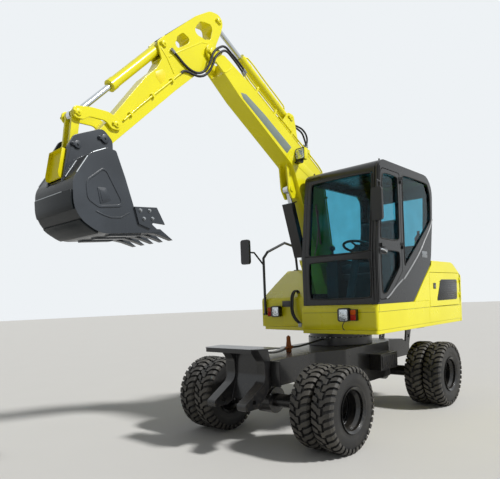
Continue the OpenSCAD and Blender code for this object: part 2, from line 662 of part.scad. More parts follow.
module door_frame(inset) difference() {
    polygon(outline([for (p = door_outline)
        [p[0] + (p[0] > 600 ? -inset : (p[0] < 300 ? inset : 0)),
         p[1] + (p[1] > 2000 ? -inset : (p[1] < 1500 ? inset : 0)), p[2]]]));
    polygon(outline(door_window));
    polygon(outline(door_low_window));
}
door_window = [[700, 2020, 30], [700, 2060, 0], [608, cab_top - 140, 50], [270, cab_top - 140, 30],
    [270, 2020, 30]];
door_low_window = [[690, 1460, 30], [700, 1900, 30], [275, 1900, 30], [275, 1730, 30], [600, 1450, 60]];
module cab_door() color(black) {
    slab(cab_left - cab_wall + 5, cab_left) door_frame(5);
    translate([620, cab_left - 1, 1930]) cube([90, 23, 40]);
    for (z = [1930, 2640]) hinge_half([door_hinge_x, z + 34 + door_gap], 1, cab_left);
}
module door_panes() color(glass)
    for (w = [door_window, door_low_window]) slab(cab_left - 26 - pane, cab_left - 26)
        polygon(outline(w));

// Working arm

module boom() color(yellow) {
    boom_body();
    for (pin = [[stick_pivot, pin_r, boom_w / 2 + 10], [stick_cyl_base, small_pin, arm_ear_in + 24]])
        round_y(pin[0], pin[1], arm_y - pin[2], arm_y + pin[2]);
}
module boom_body() difference() {
    union() {
        slab(arm_y - boom_w / 2, arm_y + boom_w / 2) {
            polygon(outline([[boom_foot.x + 70, boom_foot.y - 40, 0], [688, 2668, 0], [795, 2935, 160],
                [1640, 3480, 0], [stick_pivot.x - 60, 3722, 0], [stick_pivot.x - 110, 3850, 60],
                [nose_top.x, nose_top.y, 0], [bend_top.x, bend_top.y, 150],
                [back_foot.x, back_foot.y, 0]]));
            translate(boom_foot) circle(boss_r + 8);
        }
        // Ears of the boom's end, outside the stick
        both_sides(arm_y) slab(arm_y + stick_w / 2 + side_gap, arm_y + boom_w / 2) {
            translate(stick_pivot) circle(boss_r);
            polygon([[stick_pivot.x - 60, 3722], stick_pivot + [20, -boss_r + 4],
                stick_pivot + [-20, boss_r - 4], [stick_pivot.x - 130, 3850]]);
        }
        // Lugs under the bend for the boom cylinder
        both_sides(arm_y) slab(arm_y + lift_lug_in, arm_y + lift_lug_in + 20)
            polygon(outline([[640, 2600, 30], [lift_eye.x - 10, lift_eye.y - 110, 30],
                [lift_eye.x + 55, lift_eye.y - 10, 50], [870, 2990, 30], [640, 2900, 0]]));
        // Ears on top for the stick cylinder
        both_sides(arm_y) slab(arm_y + arm_ear_in, arm_y + arm_ear_in + 18)
            polygon(outline([[620, 3150, 0], [stick_cyl_base.x - 50, stick_cyl_base.y + 40, 40],
                [stick_cyl_base.x + 50, stick_cyl_base.y + 50, 40], [990, 3360, 0]]));
        // Heads of the boom cylinder's pin
        both_sides(arm_y) round_y(lift_eye, 34, arm_y + lift_lug_in + 19, arm_y + lift_lug_in + 32);
    }
    // Pocket for the boom cylinder's eye
    round_y(lift_eye, 108, arm_y - lift_lug_in, arm_y + lift_lug_in);
    // Slot that the stick's end turns in
    slab(arm_y - stick_w / 2 - side_gap, arm_y + stick_w / 2 + side_gap)
        translate(stick_pivot) circle(nose_slot);
    round_y(boom_foot, pin_r + pin_gap, arm_y - 300, arm_y + 300);
}
lift_lug_in = 40;
nose_slot = 205;    // radius of the room that the stick's end turns in
arm_ear_in = arm_cyl_r + side_gap;

module boom_lamp() color(black) {
    translate([700, arm_y + boom_w / 2 + seat_gap, 2975]) cube([70, 66, 12]);
    translate([690, arm_y + boom_w / 2 + 8, 2986]) cube([60, 60, 26]);
    block_x(690, 752) polygon(outline(box_yz(arm_y + 88 + 14, arm_y + 88 + 144, 3006, 3136, 22)));
}

// Cylinder barrel drawn along +X from its base pin, with a bore for the rod
module barrel(length, r, rod_r, eye_w, pin) difference() {
    union() {
        rotate([90, 0, 0]) cylinder(r = r, h = eye_w, center = true);
        translate([0, 0, 0]) rotate([0, 90, 0]) cylinder(r = r, h = length - 40);
        translate([length - 60, 0, 0]) rotate([0, 90, 0]) cylinder(r = r + 4, h = 60);
    }
    rotate([90, 0, 0]) cylinder(r = pin + pin_gap, h = 300, center = true);
    translate([r + 12, 0, 0]) rotate([0, 90, 0]) cylinder(r = r - 9, h = length - r - 42);
    translate([length - 50, 0, 0]) rotate([0, 90, 0]) cylinder(r = rod_r + pin_gap, h = 60);
}
// Rod drawn back from its eye at the origin, along -X
module rod(length, rod_r, piston_r, eye_r, eye_w, pin) {
    difference() {
        union() {
            rotate([90, 0, 0]) cylinder(r = eye_r, h = eye_w, center = true);
            translate([-length, 0, 0]) rotate([0, 90, 0]) cylinder(r = rod_r, h = length);
        }
        rotate([90, 0, 0]) cylinder(r = pin + pin_gap, h = 300, center = true);
    }
    translate([-length, 0, 0]) rotate([0, 90, 0]) cylinder(r = piston_r, h = 50);
}

lift_len = 745;
lift_angle = heading(lift_base, lift_eye);
module lift_barrel() color(yellow) along(lift_base, lift_angle)
    barrel(lift_len, lift_r, lift_rod_r, 2 * lift_lug_in - 12, lift_pin);
guard_half = 66;
guard_top = -150;
module lift_rod() {
    color(steel) along(lift_eye, lift_angle)
        rod(1140, lift_rod_r, lift_r - 10, 50, 2 * lift_lug_in - 12, lift_pin);
    // Guard in front of the rod, held by its top plate
    color(black) along(lift_eye, lift_angle) {
        difference() {
            translate([-790, -guard_half, -82]) cube([790 + guard_top, 2 * guard_half, 70]);
            translate([-791, -guard_half + 5, -76]) cube([791 + guard_top + 1, 2 * guard_half - 10, 100]);
        }
        translate([guard_top - 12, -guard_half, -82]) cube([12, 2 * guard_half, 114]);
    }
}

// The boom's top edge, from its bend to where the nose starts
bend_top = [235, 2950];
nose_top = [1497, 3668];
back_foot = [boom_foot.x - 80, boom_foot.y + 30];
top_way = unit(nose_top - bend_top);
back_way = unit(back_foot - bend_top);
// Points at distance t from the bend and height h over the top plate or the back plate
function over(t, h) = bend_top + top_way * t + turn(top_way, 90) * h;
function behind(t, h) = bend_top + back_way * t + turn(back_way, -90) * h;
function round_bend(h) = bend_top + unit(turn(top_way, 90) + turn(back_way, -90)) * (h - 12);
function in_3d(points, y) = [for (p = points) [p.x, y, p.y]];
line_y = arm_y + 84;
module clamp(p, way, y) translate([p.x, 0, p.y]) rotate([0, -way, 0]) translate([-13, y[0], 0])
    cube([26, y[1] - y[0], 78]);
module boom_lines() color(yellow) {
    for (h = [20, 56]) rod3(in_3d([behind(1250, h), behind(80, h), round_bend(h), over(80, h),
        over(1440, h), over(1523, h + 12)], line_y), 9);
    for (t = [330, 660, 990, 1320]) clamp(over(t, seat_gap), heading(bend_top, nose_top),
        [line_y - 12, line_y + 12]);
    // Pair of pipes from the hoses down the back, behind a bracket on the bend
    for (y = [arm_y - 20, arm_y + 20]) rod3(in_3d([[404, 3238.5], [404, 3200], [385, 3145],
        [300, 3085], round_bend(70), behind(90, 56), behind(1250, 56)], y), 10);
    for (t = [300, 900]) clamp(behind(t, seat_gap), heading(back_foot, bend_top),
        [arm_y - 34, line_y + 12]);
    slab(arm_y - 50, arm_y + 40)
        polygon([over(130, seat_gap), over(230, seat_gap), [452, 3215], [372, 3215]]);
}

hose_r = 11;
// Routes of the hose pair from the stick cylinder's base to the pipes on the bend
loop_outer = [[700, 3512], [620, 3482], [520, 3478], [420, 3462], [345, 3405], [338, 3330],
    [375, 3275], [404, 3252], [404, 3238.8]];
loop_inner = [[708, 3482], [650, 3440], [560, 3420], [490, 3392], [450, 3340], [425, 3290], [404, 3252],
    [404, 3238.8]];
module boom_hoses() color(rubber) {
    rod3(in_3d(loop_outer, arm_y - 20), hose_r);
    rod3(in_3d(loop_inner, arm_y + 20), hose_r);
}
// Routes of the hose pair that crosses the stick's joint, [x, y, z]
stick_line_y = arm_y + stick_w / 2 + 11.7;
function on_line(t, h) = [over(t, h).x, line_y, over(t, h).y];
cross_outer = [[2500, stick_line_y, 3674], [2430, stick_line_y, 3634], [2340, stick_line_y, 3580],
    [2255, stick_line_y, 3556], [2165, -40, 3566], [2100, -24, 3620], [2060, -8, 3700],
    [2020, -4, 3790], [1935, -8, 3868], [1840, -25, 3912], [1740, -42, 3892], on_line(1610, 81),
    on_line(1523.4, 68.1)];
cross_inner = [[2399.7, stick_line_y, 3492.3], [2368, stick_line_y, 3520], [2310, stick_line_y, 3532],
    [2240, stick_line_y, 3528], [2160, -40, 3536], [2080, -24, 3592], [2030, -8, 3680],
    [1990, -4, 3764], [1910, -8, 3836], [1822, -25, 3876], [1730, -42, 3856], on_line(1610, 45),
    on_line(1523.4, 32.1)];
module arm_hoses() color(rubber) {
    rod3(cross_outer, hose_r);
    rod3(cross_inner, hose_r);
}

stick_cyl_angle = heading(stick_cyl_base, stick_cyl_eye);
module stick_barrel() color(yellow) along(stick_cyl_base, stick_cyl_angle)
    barrel(880, arm_cyl_r, arm_rod_r, 2 * arm_ear_in - 8, small_pin);
module stick_rod() color(steel) along(stick_cyl_eye, stick_cyl_angle)
    rod(880, arm_rod_r, arm_cyl_r - 10, 40, 2 * arm_rod_r, small_pin);

bucket_cyl_angle = heading(bucket_cyl_base, link_pin);
module bucket_barrel() color(yellow) along(bucket_cyl_base, bucket_cyl_angle)
    barrel(715, arm_cyl_r, arm_rod_r, 2 * arm_ear_in - 8, small_pin);
module bucket_rod() color(steel) along(link_pin, bucket_cyl_angle)
    rod(740, arm_rod_r, arm_cyl_r - 10, 40, 2 * arm_rod_r, small_pin);

module stick() color(yellow) {
    stick_body();
    // Pin of the bucket cylinder, and the heads of the stick cylinder's pin
    round_y(bucket_cyl_base, small_pin, arm_y - stick_w / 2 - 10, arm_y + stick_w / 2 + 10);
    both_sides(arm_y) round_y(stick_cyl_eye, 32, arm_y + stick_w / 2 - 1, arm_y + stick_w / 2 + 10);
}
module stick_body() difference() {
    union() {
        slab(arm_y - stick_w / 2, arm_y + stick_w / 2)
            polygon(outline([[1950, 3740, 60], [2198, 3546, 60], [2455, 3327, 0],
                [bucket_pin.x - 60, bucket_pin.y - 40, 0], [bucket_pin.x + 50, bucket_pin.y + 40, 0],
                [idler_pin.x + 45, idler_pin.y + 40, 0], [2780, 3350, 0], [2660, 3460, 60],
                [2600, 3560, 0], [2640, 3700, 30], [2560, 3775, 40], [2170, 4100, 200], [1990, 4215, 120],
                [1790, 4235, 75], [1850, 4060, 60], [1930, 3900, 60]]));
        slab(arm_y - stick_w / 2, arm_y + stick_w / 2) translate(stick_pivot) circle(boss_r);
        slab(arm_y - stick_w / 2, arm_y + stick_w / 2) translate(bucket_pin) circle(70);
    }
    // Slots for the ends of the two cylinders
    slab(arm_y - rod_slot, arm_y + rod_slot) polygon([[1700, 4400], [1700, 3990], [1770, 3990],
        [1815, 4060], [1880, 4104], [1935, 4112], [1975, 4230], [1985, 4400]]);
    slab(arm_y - arm_ear_in, arm_y + arm_ear_in) translate(bucket_cyl_base) rotate(bucket_cyl_angle)
        polygon([[-56, -56], [-56, 200], [260, 200], [260, -82], [60, -64], [20, -56]]);
    for (p = [[stick_pivot, pin_r], [bucket_pin, pin_r - 4], [idler_pin, small_pin]])
        round_y(p[0], p[1] + pin_gap, arm_y - 300, arm_y + 300);
    // Lightening holes through the lobe
    slab(arm_y - 100, arm_y + 100) {
        polygon(outline([[2010, 4060, 50], [2140, 4080, 60], [2160, 3960, 50], [2050, 3890, 40]]));
        translate([2354, 3815]) rotate(-42) polygon(outline([[-70, -42, 40], [70, -42, 40],
            [70, 42, 40], [-70, 42, 40]]));
    }
}
rod_slot = 30;      // half width of the slot for the stick cylinder's rod

// Pipe along the stick's near side, with its clamps
stick_pipe = [[2400, 3492], [2440, 3456], [2874, 3068], [3020, 2925]];
module stick_lines() color(yellow) {
    rod3(in_3d(stick_pipe, stick_line_y), 8);
    for (p = [[2500, 3402], [2720, 3206], [2950, 2994]])
        translate([p.x, arm_y + stick_w / 2 + seat_gap, p.y]) rotate([0, 42, 0])
            translate([-12, 0, -20]) cube([24, 24, 40]);
}

idler_in = stick_w / 2 + side_gap;
idler_t = 18;
push_in = 34;
push_t = 26;
module idler_links() color(yellow) {
    // Bent upwards in the middle, to clear the bucket's pin
    both_sides(arm_y) slab(arm_y + idler_in, arm_y + idler_in + idler_t)
        polygon(outline([at(idler_pin, -44, -42, 40), at(idler_pin, 46, -44, 40),
            at(idler_pin, 96, 8, 60), at(link_pin, -88, -10, 60), at(link_pin, -36, -44, 30),
            at(link_pin, 44, -44, 40), at(link_pin, 44, 44, 40), at(link_pin, -110, 68, 120),
            at(idler_pin, 70, 84, 90), at(idler_pin, -44, 44, 40)]));
    round_y(idler_pin, small_pin, arm_y - idler_in - idler_t - 4, arm_y + idler_in + idler_t + 4);
    // At the other end two stubs carry the push link and leave the rod's eye free
    both_sides(arm_y) round_y(link_pin, small_pin, arm_y + push_in - 2, arm_y + idler_in + idler_t + 4);
}

module push_link() color(yellow) both_sides(arm_y)
    slab(arm_y + push_in, arm_y + push_in + push_t) difference() {
        union() {
            for (p = [link_pin, bucket_rear_pin]) translate(p) circle(38);
            polygon([link_pin + [-34, -10], bucket_rear_pin + [-30, 10],
                bucket_rear_pin + [30, 10], link_pin + [34, -10]]);
        }
        for (p = [link_pin, bucket_rear_pin]) translate(p) circle(small_pin + pin_gap);
    }

// Side view of the bucket shell, from the mouth's top round the back to the lip
shell_outline = [[3310, 2600, 0], [3460, 2532, 60], [3600, 2330, 160], [3600, 2080, 200],
    [3400, 1965, 220], [2860, 2010, 0], [2960, 2085, 0], [3070, 2080, 0], [3170, 2400, 60], [3240, 2590, 20]];
shell_inner = [[3300, 2580, 0], [3448, 2513, 50], [3580, 2325, 150], [3580, 2090, 190],
    [3395, 1985, 210], [2750, 2038, 0], [2700, 2400, 0], [3000, 2700, 0]];
ear_in = idler_in + idler_t + side_gap;
ear_t = 24;
// Embossed ring on the side plates, and how much wider its outside is
ring_centre = [3352, 2310];
ring_path = [[3345, 2440, 30], [3205, 2195, 30], [3400, 2168, 70], [3478, 2215, 50], [3486, 2330, 70]];
ring_grow = 1.13;
function grown(points, c, k) = [for (p = points) [c.x + (p[0] - c.x) * k, c.y + (p[1] - c.y) * k, p[2] * k]];
module bucket_guard() color(yellow) slab(arm_y - ear_in + seat_gap, arm_y + ear_in - seat_gap)
    polygon([[3528, 2590], [3542, 2593], [3588, 2378], [3574, 2375]]);
module bucket() color(grey) {
    both_sides(arm_y) slab(arm_y + bucket_w / 2 - 1, arm_y + bucket_w / 2 + 6) difference() {
        polygon(outline(grown(ring_path, ring_centre, ring_grow)));
        polygon(outline(ring_path));
    }
    // Wear bars under the floor
    for (y = [-200, 0, 200]) slab(arm_y + y - 35, arm_y + y + 35)
        polygon([[3000, 2004], [3290, 1980], [3290, 1961], [3015, 1983]]);
    both_sides(arm_y) slab(arm_y + bucket_w / 2 - bucket_t, arm_y + bucket_w / 2)
        polygon(outline(shell_outline));
    slab(arm_y - bucket_w / 2, arm_y + bucket_w / 2) difference() {
        polygon(outline(shell_outline));
        polygon(outline(shell_inner));
    }
    // Ears that hold the stick and the push link
    both_sides(arm_y) slab(arm_y + ear_in, arm_y + ear_in + ear_t) difference() {
        polygon(outline([[3160, 2600, 20], [bucket_pin.x - 70, bucket_pin.y, 50],
            [bucket_pin.x + 10, bucket_pin.y + 80, 60],
            [bucket_rear_pin.x + 20, bucket_rear_pin.y + 70, 50],
            [bucket_rear_pin.x + 75, bucket_rear_pin.y - 20, 40], [3590, 2340, 0],
            [3460, 2510, 0], [3300, 2590, 0]]));
        polygon(outline(shell_inner));
    }
    round_y(bucket_pin, pin_r - 4, arm_y - ear_in - ear_t - 8, arm_y + ear_in + ear_t + 8);
    both_sides(arm_y) {
        round_y(bucket_pin, 44, arm_y + idler_in, arm_y + ear_in + 1);
        // The rear pin's stubs stop short of the push link
        round_y(bucket_rear_pin, 32, arm_y + push_in + push_t + side_gap, arm_y + ear_in + 1);
        round_y(bucket_rear_pin, small_pin, arm_y + ear_in, arm_y + ear_in + ear_t + 8);
    }
    // Teeth along the lip and the cutters at its ends
    for (i = [0:teeth - 1]) {
        y = arm_y - bucket_w / 2 + 34 + i * (bucket_w - 68) / (teeth - 1);
        slab(y - 30, y + 30) polygon([[2960, 2004], [2960, 2036], [2860, 2040], [2735, 1958], [2860, 1990]]);
    }
    both_sides(arm_y) slab(arm_y + bucket_w / 2 - 1, arm_y + bucket_w / 2 + 16)
        polygon([[3110, 2190], [2900, 2205], [2825, 2075], [2945, 2080], [2970, 2030], [3075, 2060]]);
}

chassis_frame();
front_cradle();
rear_step();
side_locker();
bearing_lower();
deck_hoses();
front_axle();
rear_axle();
drive_line();
knuckle_left();
knuckle_right();
tyres_front_left();
tyres_front_right();
tyres_rear_left();
tyres_rear_right();
rims_front_left();
rims_front_right();
rims_rear_left();
rims_rear_right();
upper_frame();
bearing_upper();
cab_skirt();
tank_body();
house_hoses();
counterweight();
engine_cover();
engine();
engine_hood();
side_door();
cab_left_wall();
cab_right_wall();
cab_shell();
cab_panes();
seat_base();
seat_cushions();
consoles();
fire_extinguisher();
mirror_rail();
left_mirror();
headlamps();
cab_door();
door_panes();
boom();
boom_lines();
boom_hoses();
arm_hoses();
boom_lamp();
lift_barrel();
lift_rod();
stick_barrel();
stick_rod();
stick();
stick_lines();
bucket_barrel();
bucket_rod();
idler_links();
push_link();
bucket();
bucket_guard();
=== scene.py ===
# %% [markdown]
# A wheeled excavator. Its imported solids are the frame: every piece below is placed by them, and all but the hose
# pair across the stick's joint ride on one of their bodies, so that the machine can still turn, steer, lift and
# dig.
# All lengths are metres, with X forward, Y to the machine's left and Z up, and the origin on the ground under the
# swing bearing.

# %% Load the frame
import json
from math import cos, pi, radians, sin, sqrt, tan

import bmesh
import bpy
from mathutils import Matrix, Vector


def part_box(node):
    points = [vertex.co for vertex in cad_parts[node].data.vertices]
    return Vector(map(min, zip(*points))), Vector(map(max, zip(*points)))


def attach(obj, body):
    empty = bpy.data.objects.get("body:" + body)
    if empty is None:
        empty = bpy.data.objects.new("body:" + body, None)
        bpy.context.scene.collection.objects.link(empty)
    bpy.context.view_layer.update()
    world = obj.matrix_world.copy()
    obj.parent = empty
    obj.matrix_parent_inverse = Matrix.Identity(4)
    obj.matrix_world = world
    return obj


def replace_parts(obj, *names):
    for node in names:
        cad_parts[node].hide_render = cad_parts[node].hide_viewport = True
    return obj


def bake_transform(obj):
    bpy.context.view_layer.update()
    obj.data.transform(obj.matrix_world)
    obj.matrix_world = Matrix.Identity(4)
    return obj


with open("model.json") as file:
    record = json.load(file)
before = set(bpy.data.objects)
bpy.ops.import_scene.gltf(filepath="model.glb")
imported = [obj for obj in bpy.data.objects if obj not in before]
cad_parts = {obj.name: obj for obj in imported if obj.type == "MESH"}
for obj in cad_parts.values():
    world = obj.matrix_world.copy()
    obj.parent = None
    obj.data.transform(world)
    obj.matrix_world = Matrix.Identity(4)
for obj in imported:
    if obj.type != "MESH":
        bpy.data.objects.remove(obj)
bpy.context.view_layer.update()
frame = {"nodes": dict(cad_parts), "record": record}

nodes = frame["nodes"]
body_of = {node: body for body, members in frame["record"]["behaviour"]["bodies"].items() for node in members}

# %% [markdown]
# The camera stands to the front left of the machine, about as high as the cab's floor, and looks almost level. Its
# place and its focal length were fitted to the outlines of the wheels, the house and the cab together. A camera
# that looks level keeps upright edges parallel, and the lens shift brings the tall arm into the frame.

# %% Camera
image_width, image_height = 500, 479
camera_place = Vector((5.32418, 3.31104, 1.45374))
camera_yaw, camera_pitch, camera_roll = -2.40253, -0.011055, -0.039955
focal_pixels = 492.93
centre_pixel = (247.55, 304.51)
sensor = 36.0

ahead = Vector((cos(camera_pitch) * cos(camera_yaw), cos(camera_pitch) * sin(camera_yaw), sin(camera_pitch)))
level_right = Vector((sin(camera_yaw), -cos(camera_yaw), 0))
level_up = level_right.cross(ahead)
right = level_right * cos(camera_roll) + level_up * sin(camera_roll)
up = level_up * cos(camera_roll) - level_right * sin(camera_roll)

lens = bpy.data.cameras.new("photo_camera")
lens.sensor_fit = "HORIZONTAL"
lens.sensor_width = sensor
lens.lens = focal_pixels / image_width * sensor
lens.shift_x = (image_width / 2 - centre_pixel[0]) / image_width
lens.shift_y = (centre_pixel[1] - image_height / 2) / image_width
lens.clip_end = 200
camera = bpy.data.objects.new("photo_camera", lens)
bpy.context.scene.collection.objects.link(camera)
camera.matrix_world = Matrix.Translation(camera_place) @ Matrix((right, up, -ahead)).transposed().to_4x4()
bpy.context.scene.camera = camera
print("lens", round(lens.lens, 2), "mm")

# %% [markdown]
# A finish is a small network of shader nodes. Arithmetic on the network reads best as plain arithmetic, so one
# class wraps a socket and turns +, -, * and / into Math nodes, and one method adds any other node. All patterns
# read Object coordinates: every mesh here lies in the machine's own frame, so a pattern keeps its real scale.

# %% Shader helpers
def linear(code):
    """The linear colour of an sRGB code such as #e2e026."""
    parts = [int(code[i:i + 2], 16) / 255 for i in (1, 3, 5)]
    return tuple(c / 12.92 if c <= 0.04045 else ((c + 0.055) / 1.055) ** 2.4 for c in parts) + (1.0,)


class Value:
    """A number that varies over a surface."""

    def __init__(self, finish, socket):
        self.finish = finish
        self.socket = socket

    def __add__(self, other):
        return self.finish.maths("ADD", self, other)

    def __sub__(self, other):
        return self.finish.maths("SUBTRACT", self, other)

    def __rsub__(self, other):
        return self.finish.maths("SUBTRACT", other, self)

    def __mul__(self, other):
        return self.finish.maths("MULTIPLY", self, other)

    def __truediv__(self, other):
        return self.finish.maths("DIVIDE", self, other)

    __radd__ = __add__
    __rmul__ = __mul__


class Finish:
    """A material in the making: its Principled shader and the ways of adding nodes to it."""

    def __init__(self, name, **constants):
        self.material = bpy.data.materials.new(name)
        self.material.use_nodes = True
        self.tree = self.material.node_tree
        self.shader = self.tree.nodes["Principled BSDF"]
        for socket, value in constants.items():
            self.shader.inputs[socket.replace("_", " ").title().replace("Ior", "IOR")].default_value = value
        self.place = self.add("TexCoord", output="Object")

    def add(self, kind, settings={}, inputs={}, output=0):
        """A new node with its settings and inputs, as the value of one output."""
        node = self.tree.nodes.new("ShaderNode" + kind)
        for name, value in settings.items():
            if name == "stops":
                ramp = node.color_ramp
                for index, (position, colour) in enumerate(value):
                    stop = ramp.elements[index] if index < 2 else ramp.elements.new(position)
                    stop.position = position
                    stop.color = colour if len(colour) == 4 else (*colour, 1)
            else:
                setattr(node, name, value)
        for name, value in inputs.items():
            self.feed(node.inputs[name], value)
        return Value(self, node.outputs[output])

    def feed(self, socket, value):
        """Links a value to a socket, or sets a constant on it."""
        if isinstance(value, Value):
            self.tree.links.new(value.socket, socket)
        else:
            socket.default_value = value

    def maths(self, operation, first, second=0.0):
        """Arithmetic on two values or numbers."""
        return self.add("Math", {"operation": operation}, {0: first, 1: second})

    def noise(self, scale, detail=3.0, stretch=(1, 1, 1)):
        """Cloudy noise, from 0 to 1, with scale features to a metre."""
        place = self.place
        if stretch != (1, 1, 1):
            place = self.add("Mapping", {}, {"Vector": place, "Scale": stretch})
        return self.add("TexNoise", {}, {"Vector": place, "Scale": scale, "Detail": detail})

    def band(self, value, low, high):
        """0 below low, 1 above high, smooth between."""
        return self.add("MapRange", {"interpolation_type": "SMOOTHSTEP"},
                        {"Value": value, "From Min": low, "From Max": high})

    def mix(self, mask, first, second):
        """The first colour where the mask is 0, the second where it is 1."""
        return self.add("Mix", {"data_type": "RGBA"}, {0: mask, 6: first, 7: second}, output=2)

    def height(self):
        """How high the point stands, in the machine's frame."""
        return self.add("SeparateXYZ", {}, {0: self.place}, output="Z")

    def facing_up(self):
        """1 where the surface faces the sky, 0 on walls and undersides."""
        normal = self.add("NewGeometry", output="Normal")
        return self.band(self.add("SeparateXYZ", {}, {0: normal}, output="Z"), 0.35, 0.95)

    def set(self, **links):
        """Feeds the shader's inputs, named in lower case."""
        for socket, value in links.items():
            self.feed(self.shader.inputs[socket.replace("_", " ").title()], value)

    def bump(self, height, distance):
        """Relief of a few hundredths of a millimetre to a millimetre, seen only in the shading."""
        relief = {"Height": height, "Distance": distance, "Strength": 1.0}
        self.feed(self.shader.inputs["Normal"], self.add("Bump", {}, relief, output="Normal"))


# %% [markdown]
# Paint on such a machine is a thick gloss coat on plate that isn't quite even: the gloss wanders a little, there
# is a faint orange peel, and a thin film of yard dust lies on what faces up and on the lowest parts. All the
# paints share that recipe and differ in colour, gloss and dust.

# %% Paints
dust = linear("#a89c86")


def paint(name, colour, shade, gloss, dusty, peel=0.00025, coat=0.5, shine=0.5):
    """Painted plate: colour drifts to shade, gloss is its roughness, dusty the share of dust on top."""
    finish = Finish(name, coat_roughness=0.09, specular_ior_level=shine)
    drift = finish.band(finish.noise(2.4, 4), 0.3, 0.7)
    specks = finish.band(finish.noise(38, 5), 0.45, 0.72)
    film = finish.facing_up() * (0.35 + 0.65 * specks) * dusty
    low = (1 - finish.band(finish.height(), 0.1, 1.1)) * specks * dusty * 0.8
    film = finish.maths("MAXIMUM", film, low)
    body = finish.mix(drift, colour, shade)
    finish.set(base_color=finish.mix(film, body, dust))
    finish.set(roughness=gloss + drift * 0.07 + film * 0.4)
    finish.set(coat_weight=coat - film * coat)
    finish.bump(finish.noise(240, 2) * 0.7 + finish.noise(14, 2) * 0.9, peel)
    return finish.material


yellow = paint("lemon_yellow_paint", linear("#ebe21a"), linear("#e4da15"), 0.26, 0.03, 0.00025, 0.2, 0.35)
clean_yellow = paint("clean_lemon_paint", linear("#e6da10"), linear("#dccb0c"), 0.34, 0.0, 0.0002, 0.0, 0.12)
black = paint("black_chassis_paint", linear("#131314"), linear("#1b1b1c"), 0.26, 0.08, 0.0003, 0.25, 0.4)
cab_black = paint("black_cab_paint", linear("#131313"), linear("#181818"), 0.24, 0.04, 0.0002, 0.2, 0.35)
bucket_grey = paint("dark_grey_bucket_paint", linear("#252a30"), linear("#30363d"), 0.34, 0.08, 0.0005, 0.25,
                    0.4)
engine_grey = paint("grey_engine_paint", linear("#5d6468"), linear("#4d5357"), 0.5, 0.2, 0.0008, 0.1)
red = paint("red_extinguisher_paint", linear("#b81713"), linear("#a51210"), 0.22, 0.02)

# %% [markdown]
# The other finishes are rubber, chromed and bare steel, glass, moulded plastic and cloth. Rubber is matt, with a
# fine grain and dust in it. A cylinder's rod is chromed and ground along its length. Glass is thin and green, so
# it only needs a tint and a share of see-through, which keeps it cheap to render.

# %% Rubber, steel, glass and plastics
def rubber(name, colour, dusty, grain):
    """Matt rubber with dust in patches and specks."""
    finish = Finish(name, specular_ior_level=0.4)
    patches = finish.band(finish.noise(3.5, 5), 0.3, 0.8)
    specks = finish.band(finish.noise(150, 4), 0.4, 0.75)
    film = patches * dusty + specks * dusty * 0.6
    finish.set(base_color=finish.mix(film, colour, linear("#7d786e")))
    finish.set(roughness=0.55 + film * 0.5)
    finish.bump(finish.noise(420, 3), grain)
    return finish.material


def metal(name, colour, gloss, streak, grain):
    """Bare or plated metal with fine lines, drawn out by the streak."""
    finish = Finish(name, metallic=1.0)
    lines = finish.noise(60, 3, streak)
    finish.set(base_color=finish.mix(lines, colour, tuple(0.8 * c for c in colour[:3]) + (1.0,)))
    finish.set(roughness=gloss + lines * 0.12)
    finish.bump(lines, grain)
    return finish.material


def plastic(name, colour, gloss, grain_scale, grain):
    """Moulded plastic or film with an even grain."""
    finish = Finish(name)
    drift = finish.noise(20, 3)
    finish.set(base_color=finish.mix(drift, colour, tuple(0.75 * c for c in colour[:3]) + (1.0,)))
    finish.set(roughness=gloss + drift * 0.1)
    finish.bump(finish.noise(grain_scale, 2), grain)
    return finish.material


def glass(name, tint, clear, gloss=0.03):
    """Tinted glass, where clear is the share of light that it lets through."""
    finish = Finish(name, coat_weight=0.1, coat_roughness=0.02, transmission_weight=clear, ior=1.14)
    smears = finish.band(finish.noise(5, 4), 0.35, 0.8)
    finish.set(base_color=finish.mix(smears, tint, tuple(min(1.0, 1.12 * c) for c in tint[:3]) + (1.0,)))
    finish.set(roughness=gloss + smears * 0.02)
    return finish.material


def cloth(name, colour, thread):
    """A plain weave: two crossed waves of threads, with fluff."""
    finish = Finish(name, sheen_weight=0.3)
    warp = finish.add("TexWave", {"bands_direction": "Y"}, {"Vector": finish.place, "Scale": 1 / thread})
    weft = finish.add("TexWave", {"bands_direction": "X"}, {"Vector": finish.place, "Scale": 1 / thread})
    fluff = finish.noise(90, 4)
    weave = finish.maths("MAXIMUM", warp, weft) + fluff * 0.4
    finish.set(base_color=finish.mix(fluff, colour, tuple(0.6 * c for c in colour[:3]) + (1.0,)))
    finish.set(roughness=0.85 + fluff * 0.1)
    finish.bump(weave, 0.0006)
    return finish.material


tyre_rubber = rubber("tyre_rubber", linear("#131314"), 0.10, 0.0006)
worn_rubber = rubber("worn_tread_rubber", linear("#33312e"), 0.3, 0.0006)
hose_rubber = rubber("hose_rubber", linear("#141415"), 0.08, 0.0002)
seal_rubber = rubber("window_seal_rubber", linear("#0d0e0f"), 0.05, 0.0001)
chrome = metal("chromed_rod_steel", linear("#d4d8db"), 0.08, (1, 1, 30), 0.00002)
steel = metal("bare_steel", linear("#9a9d9f"), 0.32, (1, 1, 1), 0.0002)
nut_steel = metal("plated_nut_steel", linear("#8a8c8e"), 0.3, (1, 1, 1), 0.0002)
rusty = metal("rusty_fitting_steel", linear("#7a4a2c"), 0.55, (1, 1, 1), 0.0008)
green_glass = glass("green_tinted_glass", linear("#8ac6d4"), 1.0, 0.0)
lens_glass = glass("clear_lamp_glass", linear("#f4f7f8"), 0.9, 0.02)
mirror_glass = metal("mirror_silver", linear("#cfd6dc"), 0.02, (1, 1, 1), 0.0)
amber = glass("amber_lens", linear("#e8661a"), 0.25, 0.15)
tail_red = glass("red_lens", linear("#c92a1c"), 0.25, 0.15)
cab_grey = plastic("moulded_cab_plastic", linear("#26282b"), 0.5, 500, 0.0004)
